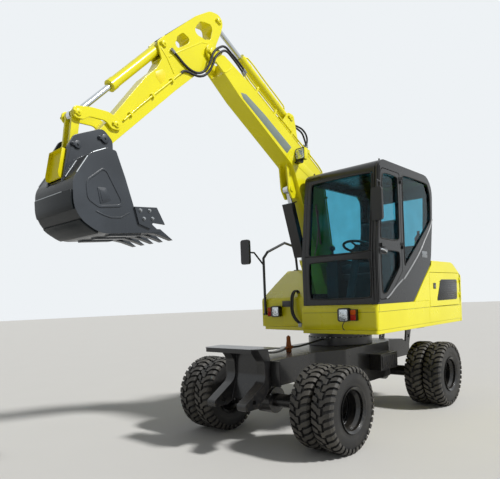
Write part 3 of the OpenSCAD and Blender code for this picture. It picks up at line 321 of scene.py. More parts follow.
trim_grey = plastic("grey_trim_strip", linear("#8d8f90"), 0.28, 300, 0.0001)
lamp_black = plastic("black_lamp_plastic", linear("#131416"), 0.3, 300, 0.0001)
seat_fabric = cloth("seat_cloth", linear("#33373d"), 0.004)
decal_grey = plastic("grey_decal_film", linear("#7f8c84"), 0.3, 200, 0.00005)

# %% [markdown]
# Plate edges on a real machine are folded, ground or cast, so they are never knife sharp, and the thin highlight
# along them is most of what makes steel look like steel. Each solid is copied, its triangles are merged and
# joined to flat faces, and its sharp edges are bevelled. Weighted normals keep the flats flat beside them.

# %% Copies with rounded edges
def make_object(name, mesh_data, body, material):
    """An object at the origin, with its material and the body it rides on."""
    made = bpy.data.objects.new(name, mesh_data)
    bpy.context.scene.collection.objects.link(made)
    if material is not None:
        made.data.materials.append(material)
    if body:
        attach(made, body)
    return made


def shade(mesh, angle=38):
    """Smooth faces, with edges kept sharp where the surface turns by more than the angle."""
    for face in mesh.faces:
        face.smooth = True
    for edge in mesh.edges:
        edge.smooth = len(edge.link_faces) == 2 and edge.calc_face_angle(0) < radians(angle)


def finish_mesh(name, mesh, body, material, angle=38, weighted=True):
    """Turns a bmesh into a piece on a body."""
    shade(mesh, angle)
    data = bpy.data.meshes.new(name)
    mesh.to_mesh(data)
    mesh.free()
    made = make_object(name, data, body, material)
    if weighted:
        made.modifiers.new("even_light", "WEIGHTED_NORMAL").keep_sharp = True
    return made


def merged_copy(node):
    """A solid's mesh with its triangles joined to flat faces."""
    mesh = bmesh.new()
    mesh.from_mesh(nodes[node].data)
    bmesh.ops.remove_doubles(mesh, verts=mesh.verts, dist=2e-5)
    bmesh.ops.dissolve_limit(mesh, angle_limit=radians(0.6), verts=mesh.verts, edges=mesh.edges)
    return mesh


def rounded(node, width, material, segments=2, sharp=28, shape=None):
    """A copy of a solid with its sharp edges rounded, which stands for the solid."""
    mesh = shape or merged_copy(node)
    edges = [e for e in mesh.edges if len(e.link_faces) == 2 and e.calc_face_angle(0) > radians(sharp)]
    bmesh.ops.bevel(mesh, geom=edges, offset=width, offset_type="OFFSET", affect="EDGES", segments=segments,
                    profile=0.5, material=-1, clamp_overlap=False)
    made = finish_mesh(node + "_plate", mesh, body_of[node], material)
    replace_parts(made, node)
    return made


edge = 0.004
for node in ("cab_skirt", "tank_body", "counterweight", "side_door", "upper_frame", "boom", "idler_links",
             "push_link"):
    rounded(node, edge, yellow)
# The hood and the cover are pressed, so their bends across the machine are soft
for node in ("engine_hood", "engine_cover"):
    pressed = merged_copy(node)
    bends = []
    for bend in pressed.edges:
        run = bend.verts[0].co - bend.verts[1].co
        folded = len(bend.link_faces) == 2 and radians(20) < bend.calc_face_angle(0) < radians(70)
        across = run.length > 0.1 and abs(run.normalized().y) > 0.9
        if folded and across and bend.verts[0].co.x < -1.15 and bend.verts[0].co.z > 1.6:
            bends.append(bend)
    print(node, "bends", len(bends))
    bmesh.ops.bevel(pressed, geom=bends, offset=0.060, offset_type="OFFSET", affect="EDGES", segments=6,
                    profile=0.5, material=-1, clamp_overlap=False)
    rounded(node, edge, yellow, shape=pressed)
for node in ("chassis_frame", "rear_step", "side_locker", "front_axle", "rear_axle", "drive_line",
             "knuckle_left", "knuckle_right", "bearing_lower", "bearing_upper"):
    rounded(node, edge, black)
for node in ("cab_left_wall", "cab_right_wall", "cab_shell", "cab_door"):
    rounded(node, edge, cab_black)
for node in ("seat_base", "consoles"):
    rounded(node, edge, cab_grey)
rounded("engine", 0.012, engine_grey)
print("rounded copies made")

# %% [markdown]
# A digger's tyre is a plain round carcass with blocks of rubber moulded on it. Long bars start near the middle of
# the tread, slant outwards and run down over the shoulder; a short block stands between each two. One bar is
# drawn flat as a strip of a few faces, thickened and bevelled, and then bent round the carcass, which is far less
# work than carving the grooves. The left and right half of a tread mirror each other, half a pitch apart.

# %% Tyres with lugs
axle_height = 0.405
front_axle_x, rear_axle_x = 1.4, -1.0
inner_tyre_y, outer_tyre_y = 0.645, 0.885
lugs = 18
lug_height = 0.021

# Half of the carcass from the middle of the tread to the bead: how far out from the axle, and how far sideways.
carcass = [(0.384, 0.0), (0.383, 0.062), (0.378, 0.083), (0.362, 0.0955), (0.340, 0.1005), (0.30, 0.1045),
           (0.262, 0.1045), (0.254, 0.1005), (0.236, 0.1000), (0.228, 0.0985), (0.214, 0.0965),
           (0.2003, 0.0860)]
carcass_run = [0.0]
for (r0, y0), (r1, y1) in zip(carcass, carcass[1:]):
    carcass_run.append(carcass_run[-1] + sqrt((r1 - r0) ** 2 + (y1 - y0) ** 2))


def on_carcass(run, height):
    """The distance out and the distance sideways of a point above the carcass."""
    run_at = min(max(run, 0.0), carcass_run[5])
    step = next(i for i in range(5) if run_at <= carcass_run[i + 1] + 1e-9)
    share = (run_at - carcass_run[step]) / (carcass_run[step + 1] - carcass_run[step])
    (r0, y0), (r1, y1) = carcass[step], carcass[step + 1]
    lean = min(1.0, max(0.0, (run - 0.07) / 0.045)) * 1.35
    out = r0 + (r1 - r0) * share + height * cos(lean)
    return out, y0 + (y1 - y0) * share + height * sin(lean) + min(run, 0.0)


def bar(rows, spread):
    """One flat lug: rows give how far along the carcass, the middle, the half width and the height."""
    mesh = bmesh.new()
    bmesh.ops.create_grid(mesh, x_segments=1, y_segments=len(rows) - 1, size=1)
    mesh.verts.ensure_lookup_table()
    tops = {}
    for vert in mesh.verts:
        row = round((vert.co.y + 1) / 2 * (len(rows) - 1))
        run, middle, half, height = rows[row]
        way = 1 if vert.co.x > 0 else -1
        vert.co = Vector((middle + way * half, run, height))
        tops[vert] = way
    edges = [edge for edge in mesh.edges if edge.is_boundary]
    made = bmesh.ops.extrude_edge_only(mesh, edges=edges)
    lower = [item for item in made["geom"] if isinstance(item, bmesh.types.BMVert)]
    for vert in lower:
        vert.co.z = -0.004
        vert.co.x += spread if vert.co.x > sum(r[1] for r in rows) / len(rows) else -spread
    rim = [e for e in mesh.edges if len(e.link_faces) == 2 and e.calc_face_angle(0) > radians(50) and
           min(v.co.z for v in e.verts) > 0]
    bmesh.ops.bevel(mesh, geom=rim, offset=0.0018, offset_type="OFFSET", affect="EDGES", segments=1,
                    profile=0.5, material=-1)
    bmesh.ops.recalc_face_normals(mesh, faces=mesh.faces)
    for face in mesh.faces:
        face.material_index = 1 if abs(face.normal.z) > 0.9 else 0
    data = bpy.data.meshes.new("lug")
    mesh.to_mesh(data)
    mesh.free()
    return data


long_bar = bar([(-0.010, -0.034, 0.029, lug_height), (0.024, -0.028, 0.028, lug_height),
                (0.036, -0.008, 0.024, lug_height), (0.062, 0.006, 0.023, lug_height),
                (0.086, 0.017, 0.023, 0.020), (0.104, 0.024, 0.022, 0.017),
                (0.128, 0.026, 0.020, 0.011)], 0.003)
short_bar = bar([(0.036, -0.008, 0.018, lug_height), (0.062, 0.005, 0.022, lug_height),
                 (0.086, 0.016, 0.022, 0.020), (0.104, 0.023, 0.021, 0.017),
                 (0.122, 0.024, 0.019, 0.011)], 0.003)


def tyre():
    """One tyre round the Y axis: the carcass turned, with its lugs bent round it."""
    mesh = bmesh.new()
    ring = [mesh.verts.new((0, y, r)) for r, y in carcass[::-1]] + \
           [mesh.verts.new((0, -y, r)) for r, y in carcass[1:]]
    section = [mesh.edges.new(pair) for pair in zip(ring, ring[1:])]
    # The inside is hidden on the rim and closes the shape
    section.append(mesh.edges.new((ring[-1], ring[0])))
    bmesh.ops.spin(mesh, geom=ring + section, cent=(0, 0, 0), axis=(0, 1, 0), dvec=(0, 0, 0), angle=2 * pi,
                   steps=88, use_merge=True, use_duplicate=False)
    bmesh.ops.remove_doubles(mesh, verts=mesh.verts, dist=1e-5)
    bmesh.ops.recalc_face_normals(mesh, faces=mesh.faces)
    pitch = 2 * pi / lugs
    for side in (1, -1):
        for index in range(2 * lugs):
            known = len(mesh.verts)
            known_faces = len(mesh.faces)
            mesh.from_mesh(short_bar if index % 2 else long_bar)
            mesh.verts.ensure_lookup_table()
            mesh.faces.ensure_lookup_table()
            start = (index / 2 + (0.5 if side < 0 else 0.0)) * pitch
            for vert in mesh.verts[known:]:
                out, sideways = on_carcass(vert.co.y, vert.co.z)
                angle = start - vert.co.x / 0.395
                vert.co = Vector((out * sin(angle), side * sideways, out * cos(angle)))
            if side > 0:
                bmesh.ops.reverse_faces(mesh, faces=mesh.faces[known_faces:])
    return mesh


one_tyre = tyre()
print("one tyre:", len(one_tyre.faces), "faces")
one_tyre_data = bpy.data.meshes.new("one_tyre")
one_tyre.to_mesh(one_tyre_data)
one_tyre.free()
for end, axle_x in (("front", front_axle_x), ("rear", rear_axle_x)):
    for side_name, side in (("left", 1), ("right", -1)):
        node = f"tyres_{end}_{side_name}"
        pair = bmesh.new()
        for count, y in enumerate((inner_tyre_y, outer_tyre_y)):
            known = len(pair.verts)
            pair.from_mesh(one_tyre_data)
            pair.verts.ensure_lookup_table()
            turned = Matrix.Rotation(radians(5.3 * count + 3 * side), 4, "Y")
            bmesh.ops.transform(pair, matrix=Matrix.Translation((axle_x, side * y, axle_height)) @ turned,
                                verts=pair.verts[known:])
        treaded = finish_mesh(node + "_tread", pair, body_of[node], tyre_rubber, 30, False)
        treaded.data.materials.append(worn_rubber)
        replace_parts(treaded, node)

# %% [markdown]
# The two rims of a pair are clamped between the hub's flange and ten nuts. The turned rims of the frame are right
# already; they get their nuts, a hub cap with its plug, and the valve. A nut is a six sided cone with a collar.

# %% Wheel nuts, hub caps and valves
def stud(mesh, place, way, radius, height, sides=6, cone=0.86):
    """A nut or plug that stands at a place and points a way."""
    turn = Vector((0, 0, 1)).rotation_difference(Vector(way)).to_matrix().to_4x4()
    foot = Matrix.Translation(Vector(place)) @ turn
    bmesh.ops.create_cone(mesh, cap_ends=True, segments=16, radius1=radius * 1.28, radius2=radius * 1.2,
                          depth=height * 0.24, matrix=foot @ Matrix.Translation((0, 0, height * 0.1)))
    head = bmesh.ops.create_cone(mesh, cap_ends=True, segments=sides, radius1=radius, radius2=radius * cone,
                                 depth=height, matrix=foot @ Matrix.Translation((0, 0, height * 0.5)))
    top = [e for v in head["verts"] for e in v.link_edges if all((foot.inverted() @ w.co).z > height * 0.9
                                                                for w in e.verts)]
    bmesh.ops.bevel(mesh, geom=list(set(top)), offset=radius * 0.16, offset_type="OFFSET", affect="EDGES",
                    segments=1, profile=0.5, material=-1)


def round_axle(axle_x, radius, angle, y):
    """A place on a circle round an axle."""
    return axle_x + radius * sin(angle), y, axle_height + radius * cos(angle)


wheel_nuts, nut_circle, nut_y = 10, 0.104, 0.7808
cap_bolts, cap_circle, cap_y = 6, 0.066, 0.8045
for end, axle_x in (("front", front_axle_x), ("rear", rear_axle_x)):
    for side_name, side in (("left", 1), ("right", -1)):
        node = f"rims_{end}_{side_name}"
        mesh = bmesh.new()
        for index in range(wheel_nuts):
            angle = index * 2 * pi / wheel_nuts + 0.2
            stud(mesh, round_axle(axle_x, nut_circle, angle, side * nut_y), (0, side, 0), 0.012, 0.022)
        finish_mesh(f"nuts_{end}_{side_name}", mesh, body_of[node], nut_steel, 30, False)
        cap = bmesh.new()
        for index in range(cap_bolts):
            angle = index * 2 * pi / cap_bolts
            stud(cap, round_axle(axle_x, cap_circle, angle, side * cap_y), (0, side, 0), 0.006, 0.008)
        stud(cap, (axle_x, side * cap_y, axle_height), (0, side, 0), 0.022, 0.02, 20, 0.9)
        finish_mesh(f"hub_cap_{end}_{side_name}", cap, body_of[node], black, 30, False)
        valve = bmesh.new()
        stud(valve, (axle_x + 0.158, side * 0.80, axle_height - 0.03), (0, side, 0), 0.005, 0.05, 12, 0.7)
        finish_mesh(f"valve_{end}_{side_name}", valve, body_of[node], seal_rubber, 30, False)
        rounded(node, 0.0025, black, 2, 24)
print("wheels dressed")

# %% [markdown]
# Hydraulic hoses are rubber over steel braid, with a crimped steel sleeve and a swivel nut at each end, and pipes
# are painted steel held by clamps. Both are swept along their route: a curve runs smoothly through a few points,
# gets a round section, and is turned into a mesh.

# %% Swept tubes and their fittings
def swept(points, radius, name="swept", closed=False):
    """The mesh of a smooth tube through the points, in metres."""
    route = bpy.data.curves.new(name, "CURVE")
    route.dimensions = "3D"
    route.bevel_depth = radius
    route.bevel_resolution = 3
    route.resolution_u = 6
    route.use_fill_caps = not closed
    spline = route.splines.new("BEZIER")
    spline.bezier_points.add(len(points) - 1)
    spline.use_cyclic_u = closed
    for knot, point in zip(spline.bezier_points, points):
        knot.co = point
        knot.handle_left_type = knot.handle_right_type = "AUTO"
    holder = bpy.data.objects.new(name, route)
    bpy.context.scene.collection.objects.link(holder)
    bpy.context.view_layer.update()
    mesh = bmesh.new()
    mesh.from_mesh(bpy.data.meshes.new_from_object(holder))
    bpy.data.objects.remove(holder)
    bmesh.ops.remove_doubles(mesh, verts=mesh.verts, dist=1e-6)
    return mesh


def fitting(mesh, start, toward, radius):
    """A crimped sleeve and a swivel nut from a hose's end inwards along the hose."""
    way = (Vector(toward) - Vector(start)).normalized()
    turn = Vector((0, 0, 1)).rotation_difference(way).to_matrix().to_4x4()
    for sides, low, high, r in ((6, 0.0, 0.016, 1.55), (24, 0.015, 0.022, 1.2), (24, 0.021, 0.046, 1.35)):
        place = Matrix.Translation(Vector(start) + way * (low + high) / 2) @ turn
        made = bmesh.ops.create_cone(mesh, cap_ends=True, segments=sides, radius1=radius * r,
                                     radius2=radius * r, depth=high - low, matrix=place)
        rim = {e for v in made["verts"] for e in v.link_edges if e.calc_face_angle(0) > radians(70)}
        bmesh.ops.bevel(mesh, geom=list(rim), offset=0.0012, offset_type="OFFSET", affect="EDGES", segments=1,
                        profile=0.5, material=-1)


def tube(name, routes, radius, body, material, closed=False):
    """Several tubes as one piece."""
    mesh = bmesh.new()
    for route in routes:
        one = swept(route, radius, closed=closed)
        data = bpy.data.meshes.new(name)
        one.to_mesh(data)
        one.free()
        mesh.from_mesh(data)
    return finish_mesh(name, mesh, body, material, 60, False)


def mm(points, y=None):
    """Points of the source, in millimetres, as vectors in metres, with y given apart for a flat route."""
    return [Vector((p[0], p[1] if y is None else y, p[-1])) / 1000 for p in points]


hose_radius = 0.011

# %% [markdown]
# The pair of hoses that crosses the stick's joint has to give when the stick swings. Here it is drawn in one pose
# and
# rides on no body: it runs over the boom up to where it leaves it, then turns smoothly over to the stick.

# %% Hoses across the stick's joint
arm_y = -0.130
boom_bend, boom_nose = Vector((235, 0, 2950)), Vector((1497, 0, 3668))
boom_way = (boom_nose - boom_bend).normalized()
boom_up = Vector((-boom_way.z, 0, boom_way.x))
stick_side_y = -48.3


def over_boom(along, height, y):
    """A point over the boom's top plate, in metres, from its bend."""
    place = boom_bend + boom_way * along + boom_up * height
    return Vector((place.x, y, place.z)) / 1000


crossing = [
    mm([(2500, stick_side_y, 3674), (2430, stick_side_y, 3634), (2340, stick_side_y, 3580),
        (2255, stick_side_y, 3556), (2165, -40, 3566), (2100, -24, 3620), (2060, -8, 3700), (2020, -4, 3790),
        (1935, -8, 3868), (1840, -25, 3912), (1740, -42, 3892)]) + [over_boom(1610, 81, -46),
                                                                   over_boom(1523.4, 68.1, -46)],
    mm([(2399.7, stick_side_y, 3492.3), (2368, stick_side_y, 3520), (2310, stick_side_y, 3532),
        (2240, stick_side_y, 3528), (2160, -40, 3536), (2080, -24, 3592), (2030, -8, 3680), (1990, -4, 3764),
        (1910, -8, 3836), (1822, -25, 3876), (1730, -42, 3856)]) + [over_boom(1610, 45, -46),
                                                                   over_boom(1523.4, 32.1, -46)]]
arm_tubes = tube("arm_hose_pair", crossing, hose_radius, None, hose_rubber)
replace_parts(arm_tubes, "arm_hoses")
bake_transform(arm_tubes)

# %% [markdown]
# The boom cylinder's rod is chromed, and a folded black sheet in front of it keeps dirt off. Both are one solid in
# the frame, so its copy gets two materials: faces close to the rod's axis are chrome, the rest is black paint.

# %% Rod and guard of the boom cylinder
def two_finishes(node, width, near, far, is_near):
    """A rounded copy whose faces take one of two finishes by where they lie."""
    made = rounded(node, width, near)
    made.data.materials.append(far)
    for face in made.data.polygons:
        face.material_index = 0 if is_near(face) else 1
    return made


lift_foot = Vector((0.295, arm_y, 1.190))
lift_eye = Vector((0.790, arm_y, 2.690))
lift_way = (lift_eye - lift_foot).normalized()


def on_rod(face):
    """Whether a face belongs to the rod or its eye, not to the guard."""
    offset = face.center - lift_eye
    along = offset.dot(lift_way)
    return (offset - lift_way * along).length < 0.0315 or along > -0.075


two_finishes("lift_rod", 0.002, chrome, black, on_rod)

# %% [markdown]
# A flat part is drawn as an outline in one of the three planes, given its thickness and a small bevel. Corners
# are rounded by a vertex bevel before the thickness is added. Plates, trims, seams and bare labels use it.

# %% Flat parts
def flat(mesh, plane, at, points, thick, corner=0.0, soften=0.0008):
    """Adds a plate: plane names the axis it faces, at is where it lies, and thick how far it stands out."""
    spot = {"x": lambda a, b: (at, a, b), "y": lambda a, b: (a, at, b), "z": lambda a, b: (a, b, at)}[plane]
    verts = [mesh.verts.new(spot(*point)) for point in points]
    face = mesh.faces.new(verts)
    if corner:
        cut = bmesh.ops.bevel(mesh, geom=verts, offset=corner, offset_type="OFFSET", affect="VERTICES",
                              segments=4, profile=0.5, material=-1)
        face = next(f for f in mesh.faces if set(cut["verts"]) <= set(f.verts))
    out = Vector([thick if plane == axis else 0.0 for axis in "xyz"])
    made = bmesh.ops.extrude_face_region(mesh, geom=[face])
    moved = [item for item in made["geom"] if isinstance(item, bmesh.types.BMVert)]
    bmesh.ops.translate(mesh, verts=moved, vec=out)
    island = set(moved) | set(face.verts)
    faces = {f for v in island for f in v.link_faces}
    bmesh.ops.recalc_face_normals(mesh, faces=list(faces))
    if soften:
        rim = {e for v in moved for e in v.link_edges if e.verts[0] in moved and e.verts[1] in moved}
        bmesh.ops.bevel(mesh, geom=list(rim), offset=min(soften, abs(thick) * 0.45), offset_type="OFFSET",
                        affect="EDGES", segments=2, profile=0.5, material=-1)


def plates(name, body, material, rows, corner=0.0, soften=0.0008):
    """One piece of several flat parts: each row gives plane, place, outline and thickness."""
    mesh = bmesh.new()
    for row in rows:
        flat(mesh, *row[:4], *(row[4:] or (corner, soften)))
    return finish_mesh(name, mesh, body, material, 40, False)


def box_rows(plane, at, low, high, thick):
    """The row of a rectangle between two corners."""
    return (plane, at, [(low[0], low[1]), (high[0], low[1]), (high[0], high[1]), (low[0], high[1])], thick)


def strip(points, width):
    """The outline of a band of even width along a route of 2D points."""
    left, right = [], []
    for index, point in enumerate(points):
        before, after = points[max(index - 1, 0)], points[min(index + 1, len(points) - 1)]
        way = Vector((after[0] - before[0], after[1] - before[1])).normalized()
        left.append((point[0] - way.y * width / 2, point[1] + way.x * width / 2))
        right.append((point[0] + way.y * width / 2, point[1] - way.x * width / 2))
    return left + right[::-1]

# %% [markdown]
# A work lamp has a silvered bowl, a small bulb and a ribbed clear lens held by its rim. The indicator beside it is
# half amber, half red. The glass of both mirrors faces to the rear.

# %% Lamps and mirrors
house, cab_body, door_body = body_of["cab_skirt"], body_of["cab_shell"], body_of["cab_door"]
silver = metal("lamp_bowl_silver", linear("#e9edf0"), 0.06, (1, 1, 1), 0.0004)


def lens(front_x, y, z, half_y, high, corner, body, name):
    """The bowl, lens, ring and bulb of a lamp whose lens starts at height z."""
    for kind, at, thick, material in (("bowl", front_x - 0.0085, 0.0005, silver),
                                      ("lens", front_x - 0.007, 0.006, lens_glass)):
        plates(f"{name}_{kind}", body, material,
               [box_rows("x", at, (y - half_y, z), (y + half_y, z + high), thick)], corner, 0.0015)
    rim = bmesh.new()
    bmesh.ops.create_cone(rim, cap_ends=False, segments=40, radius1=half_y * 0.86, radius2=half_y * 0.80,
                          depth=0.0014, matrix=Matrix.Translation((front_x - 0.0002, y, z + high / 2)) @
                          Matrix.Rotation(pi / 2, 4, "Y"))
    bmesh.ops.solidify(rim, geom=rim.faces[:], thickness=0.002)
    finish_mesh(f"{name}_ring", rim, body, silver, 40, False)
    bulb = bmesh.new()
    bmesh.ops.create_uvsphere(bulb, u_segments=20, v_segments=10, radius=0.012)
    bmesh.ops.scale(bulb, vec=(0.28, 1, 1), verts=bulb.verts)
    bmesh.ops.translate(bulb, vec=(front_x - 0.005, y, z + high / 2), verts=bulb.verts)
    finish_mesh(f"{name}_bulb", bulb, body, chrome, 60, False)


lens(0.9013, 0.604, 1.193, 0.051, 0.114, 0.014, house, "left_lamp")
lens(0.4313, -0.680, 1.223, 0.051, 0.114, 0.014, house, "right_lamp")
lens(0.7605, 0.037, 3.017, 0.054, 0.108, 0.016, body_of["boom"], "boom_lamp")
for name, x, y, z in (("left", 0.8793, 0.711, 1.188), ("right", 0.4093, -0.787, 1.218)):
    plates(f"{name}_indicator_top", house, amber,
           [box_rows("x", x, (y - 0.029, z + 0.062), (y + 0.029, z + 0.112), 0.007)], 0.010, 0.003)
    plates(f"{name}_indicator_low", house, tail_red,
           [box_rows("x", x, (y - 0.029, z + 0.005), (y + 0.029, z + 0.060), 0.007)], 0.010, 0.003)
plates("right_mirror_glass", house, mirror_glass,
       [box_rows("x", 0.704, (-0.941, 1.899), (-0.819, 2.191), -0.0015)], 0.026, 0.0008)
plates("left_mirror_glass", cab_body, mirror_glass,
       [box_rows("x", 0.764, (0.924, 2.199), (1.024, 2.511), -0.0015)], 0.024, 0.0008)

# %% [markdown]
# The cab's panes sit in rubber channels, and a light strip finishes the slanting edge of its side window and door.
# Handle, lock and a bare metal plate are small pieces on the skin. The roof is held by a bolt at each corner.

# %% Cab seals and trims
def window_loop(points, corner):
    """Points of a loop with rounded corners, for a swept seal."""
    loop = []
    for index, point in enumerate(points):
        here = Vector(point)
        before = (Vector(points[index - 1]) - here).normalized() * corner
        after = (Vector(points[(index + 1) % len(points)]) - here).normalized() * corner
        loop += [here + before, here + before * 0.3 + after * 0.3, here + after]
    return loop


cab_side = 0.955
front_seals = [window_loop([(0.796, 0.132, 1.422), (0.796, 0.878, 1.422), (0.796, 0.878, 1.818),
                            (0.796, 0.132, 1.818)], 0.03),
               window_loop([(0.795, 0.132, 1.892), (0.795, 0.878, 1.892), (0.768, 0.878, 2.10),
                            (0.688, 0.878, 2.705), (0.688, 0.132, 2.705), (0.768, 0.132, 2.10)], 0.03)]
tube("front_window_seals", front_seals, 0.008, cab_body, seal_rubber, True)
quarter_seal = window_loop([(0.148, cab_side, 1.745), (0.148, cab_side, 2.742), (-0.52, cab_side, 2.742),
                            (-0.592, cab_side, 2.62), (-0.588, cab_side, 2.30)], 0.03)
tube("side_window_seal", [quarter_seal], 0.007, cab_body, seal_rubber, True)
door_seals = [window_loop([(0.698, cab_side, 2.022), (0.606, cab_side, 2.698), (0.272, cab_side, 2.698),
                           (0.272, cab_side, 2.022)], 0.03),
              window_loop([(0.688, cab_side, 1.458), (0.698, cab_side, 1.898), (0.277, cab_side, 1.898),
                           (0.277, cab_side, 1.728), (0.602, cab_side, 1.452)], 0.03)]
tube("door_window_seals", door_seals, 0.006, door_body, seal_rubber, True)
slant = [(-0.636, 0.9565, 2.33), (-0.560, 0.9565, 2.22), (-0.40, 0.9565, 2.065), (-0.263, 0.9565, 1.932),
         (-0.05, 0.9565, 1.77), (0.17, 0.9565, 1.62), (0.20, 0.9565, 1.60)]
tube("slanting_trim", [slant], 0.0105, cab_body, trim_grey)
tube("slanting_trim_door", [[(0.225, 0.9565, 1.60), (0.40, 0.9565, 1.515), (0.57, 0.9565, 1.42),
                             (0.62, 0.9565, 1.402)]], 0.0095, door_body, trim_grey)
tube("pillar_beads", [[(0.7985, 0.905, 1.40), (0.7985, 0.905, 1.88), (0.777, 0.905, 2.05),
                       (0.684, 0.905, 2.76)],
                      [(0.7975, 0.937, 1.37), (0.7975, 0.937, 1.88), (0.776, 0.937, 2.05),
                       (0.680, 0.937, 2.79)],
                      [(0.778, 0.9575, 1.37), (0.778, 0.9575, 1.88), (0.757, 0.9575, 2.05),
                       (0.662, 0.9575, 2.76)]], 0.0055, cab_body, cab_black)
roof_bolts = bmesh.new()
for x, y in ((0.56, 0.90), (-0.50, 0.90), (0.56, 0.09), (-0.50, 0.09)):
    stud(roof_bolts, (x, y, 2.8395), (0, 0, 1), 0.010, 0.022)
finish_mesh("roof_bolts", roof_bolts, cab_body, cab_black, 30, False)

# %% Door handle, lock and bare plate
plates("door_handle_plate", door_body, lamp_black,
       [box_rows("y", cab_side, (0.572, 1.858), (0.735, 1.926), 0.006)], 0.02, 0.002)
tube("door_handle", [[(0.72, 0.962, 1.905), (0.705, 0.978, 1.902), (0.63, 0.980, 1.880),
                      (0.605, 0.968, 1.872)]], 0.008, door_body, chrome)
lock = bmesh.new()
stud(lock, (0.592, 0.9605, 1.892), (0, 1, 0), 0.011, 0.012, 20, 0.92)
finish_mesh("door_lock", lock, door_body, nut_steel, 30, False)
plates("bare_side_plate", cab_body, steel,
       [("y", cab_side, [(-0.302, 1.858), (-0.458, 1.858), (-0.458, 1.932), (-0.302, 1.932)], 0.004)],
       0.012, 0.001)
screws = bmesh.new()
for x in (-0.32, -0.44):
    stud(screws, (x, 0.9588, 1.895), (0, 1, 0), 0.006, 0.003, 16, 0.8)
finish_mesh("side_plate_screws", screws, cab_body, lamp_black, 30, False)
tube("wiper_arm", [[(0.803, 0.215, 1.90), (0.800, 0.24, 1.98), (0.782, 0.26, 2.16), (0.752, 0.25, 2.40)]],
     0.006, cab_body, lamp_black)
plates("wiper_blade", cab_body, seal_rubber,
       [("x", 0.770, strip([(0.285, 2.02), (0.262, 2.24), (0.240, 2.46)], 0.018), 0.014)], 0.0, 0.002)

# %% [markdown]
# The side door carries a sunken paddle latch and a black pressed panel. Sheet metal meets in narrow dark seams:
# they are laid as hair-thin strips where the real panels meet and the solids don't.

# %% Side door, skirt and hood
cover = body_of["engine_cover"]
side_body = body_of["side_door"]
plates("side_latch", side_body, lamp_black,
       [("y", cab_side, [(-0.612, 1.488), (-0.692, 1.488), (-0.692, 1.560), (-0.612, 1.560)], 0.003)],
       0.01, 0.001)
plates("side_latch_paddle", side_body, nut_steel,
       [("y", cab_side + 0.003, [(-0.624, 1.50), (-0.680, 1.50), (-0.680, 1.532), (-0.624, 1.532)], 0.006)],
       0.006, 0.002)
plates("side_panel", side_body, cab_black,
       [("y", cab_side, [(-0.845, 1.603), (-1.404, 1.604), (-1.394, 1.345), (-0.716, 1.342)], 0.003)],
       0.03, 0.0012)
ribs = [("y", cab_side + 0.003, [(-0.80 - 0.001 * k, 1.375 + 0.028 * k), (-1.36, 1.377 + 0.028 * k),
                                 (-1.36, 1.385 + 0.028 * k), (-0.80 - 0.001 * k, 1.383 + 0.028 * k)], 0.002)
        for k in range(8)]
plates("side_panel_ribs", side_body, cab_black, ribs, 0.0, 0.0008)
seam = 0.0035
plates("skirt_seams", house, seal_rubber,
       [("y", cab_side - 0.0006, strip([(0.80, 1.272), (-0.47, 1.272)], seam), 0.0010),
        ("y", cab_side - 0.0006, strip([(0.775, 1.272), (0.775, 1.345)], seam), 0.0010),
        ("x", 0.8246, strip([(0.05, 1.272), (0.93, 1.272)], seam), 0.0010)], 0.0, 0.0)
plates("tail_seam", cover, seal_rubber,
       [("y", cab_side - 0.0006, strip([(-0.49, 1.272), (-1.525, 1.262)], seam), 0.0010)], 0.0, 0.0)
vents = [("z", 1.8518, [(-1.22, y), (-0.86, y), (-0.86, y + 0.012), (-1.22, y + 0.012)], 0.005)
         for y in [0.28 + 0.032 * k for k in range(9)]]
plates("hood_louvres", body_of["engine_hood"], yellow, vents, 0.0, 0.002)
rear_vents = [("x", -1.6895, [(-0.42, z), (0.42, z), (0.42, z + 0.012), (-0.42, z + 0.012)], -0.004)
              for z in [1.18 + 0.034 * k for k in range(7)]]
plates("tail_grille", cover, lamp_black, rear_vents, 0.0, 0.0015)
tail_lamps = [("x", -1.6895, [(s * 0.60 - 0.055, 1.20), (s * 0.60 + 0.055, 1.20), (s * 0.60 + 0.055, 1.27),
                              (s * 0.60 - 0.055, 1.27)], -0.012) for s in (-1, 1)]
plates("tail_lamps", cover, tail_red, tail_lamps, 0.014, 0.004)

# %% [markdown]
# The other hoses keep to one body each: a pair loops over the boom's bend, a pair drops beside the tank, and the
# hoses on the deck run from a rusty block to the front step and to the bearing. Every end that shows gets its
# crimped sleeve.

# %% Hoses and pipes on one body
boom_body, stick_body = body_of["boom"], body_of["stick"]
loops = [mm([(700, 3512), (620, 3482), (520, 3478), (420, 3462), (345, 3405), (338, 3330), (375, 3275),
             (404, 3252), (404, 3238.8)], -150),
         mm([(708, 3482), (650, 3440), (560, 3420), (490, 3392), (450, 3340), (425, 3290), (404, 3252),
             (404, 3238.8)], -110)]
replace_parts(tube("boom_hose_pair", loops, hose_radius, boom_body, hose_rubber), "boom_hoses")
down = [mm([(264, y, 1505), (292, y, 1530), (345, y, 1526), (392, y, 1478), (415, y + 4, 1380),
            (422, y + 14, 1260), (412, y + 60, 1170), (396, y + 100, 1125), (394, y + 106, 1106),
            (394, y + 106, 1085.3)]) for y in (-405, -432)]
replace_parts(tube("house_hose_pair", down, hose_radius, house, hose_rubber), "house_hoses")
on_deck = [mm([(391, 938), (560, 925), (760, 908), (940, 902), (1050, 912)], 0),
           mm([(1050, 0, 912), (1200, 4, 884), (1340, 8, 882), (1480, 10, 900), (1570, 10, 896),
               (1618, 10, 862.5)])]
chassis = body_of["chassis_frame"]
deck_pair = tube("deck_hose_pair", on_deck, hose_radius, chassis, hose_rubber)
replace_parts(deck_pair, "deck_hoses")
block = bmesh.new()
flat(block, "x", 1.030, [(-0.022, 0.8545), (0.022, 0.8545), (0.022, 0.935), (0.014, 0.985), (0.014, 1.028),
                         (-0.014, 1.028), (-0.014, 0.985), (-0.022, 0.935)], 0.040, 0.004, 0.003)
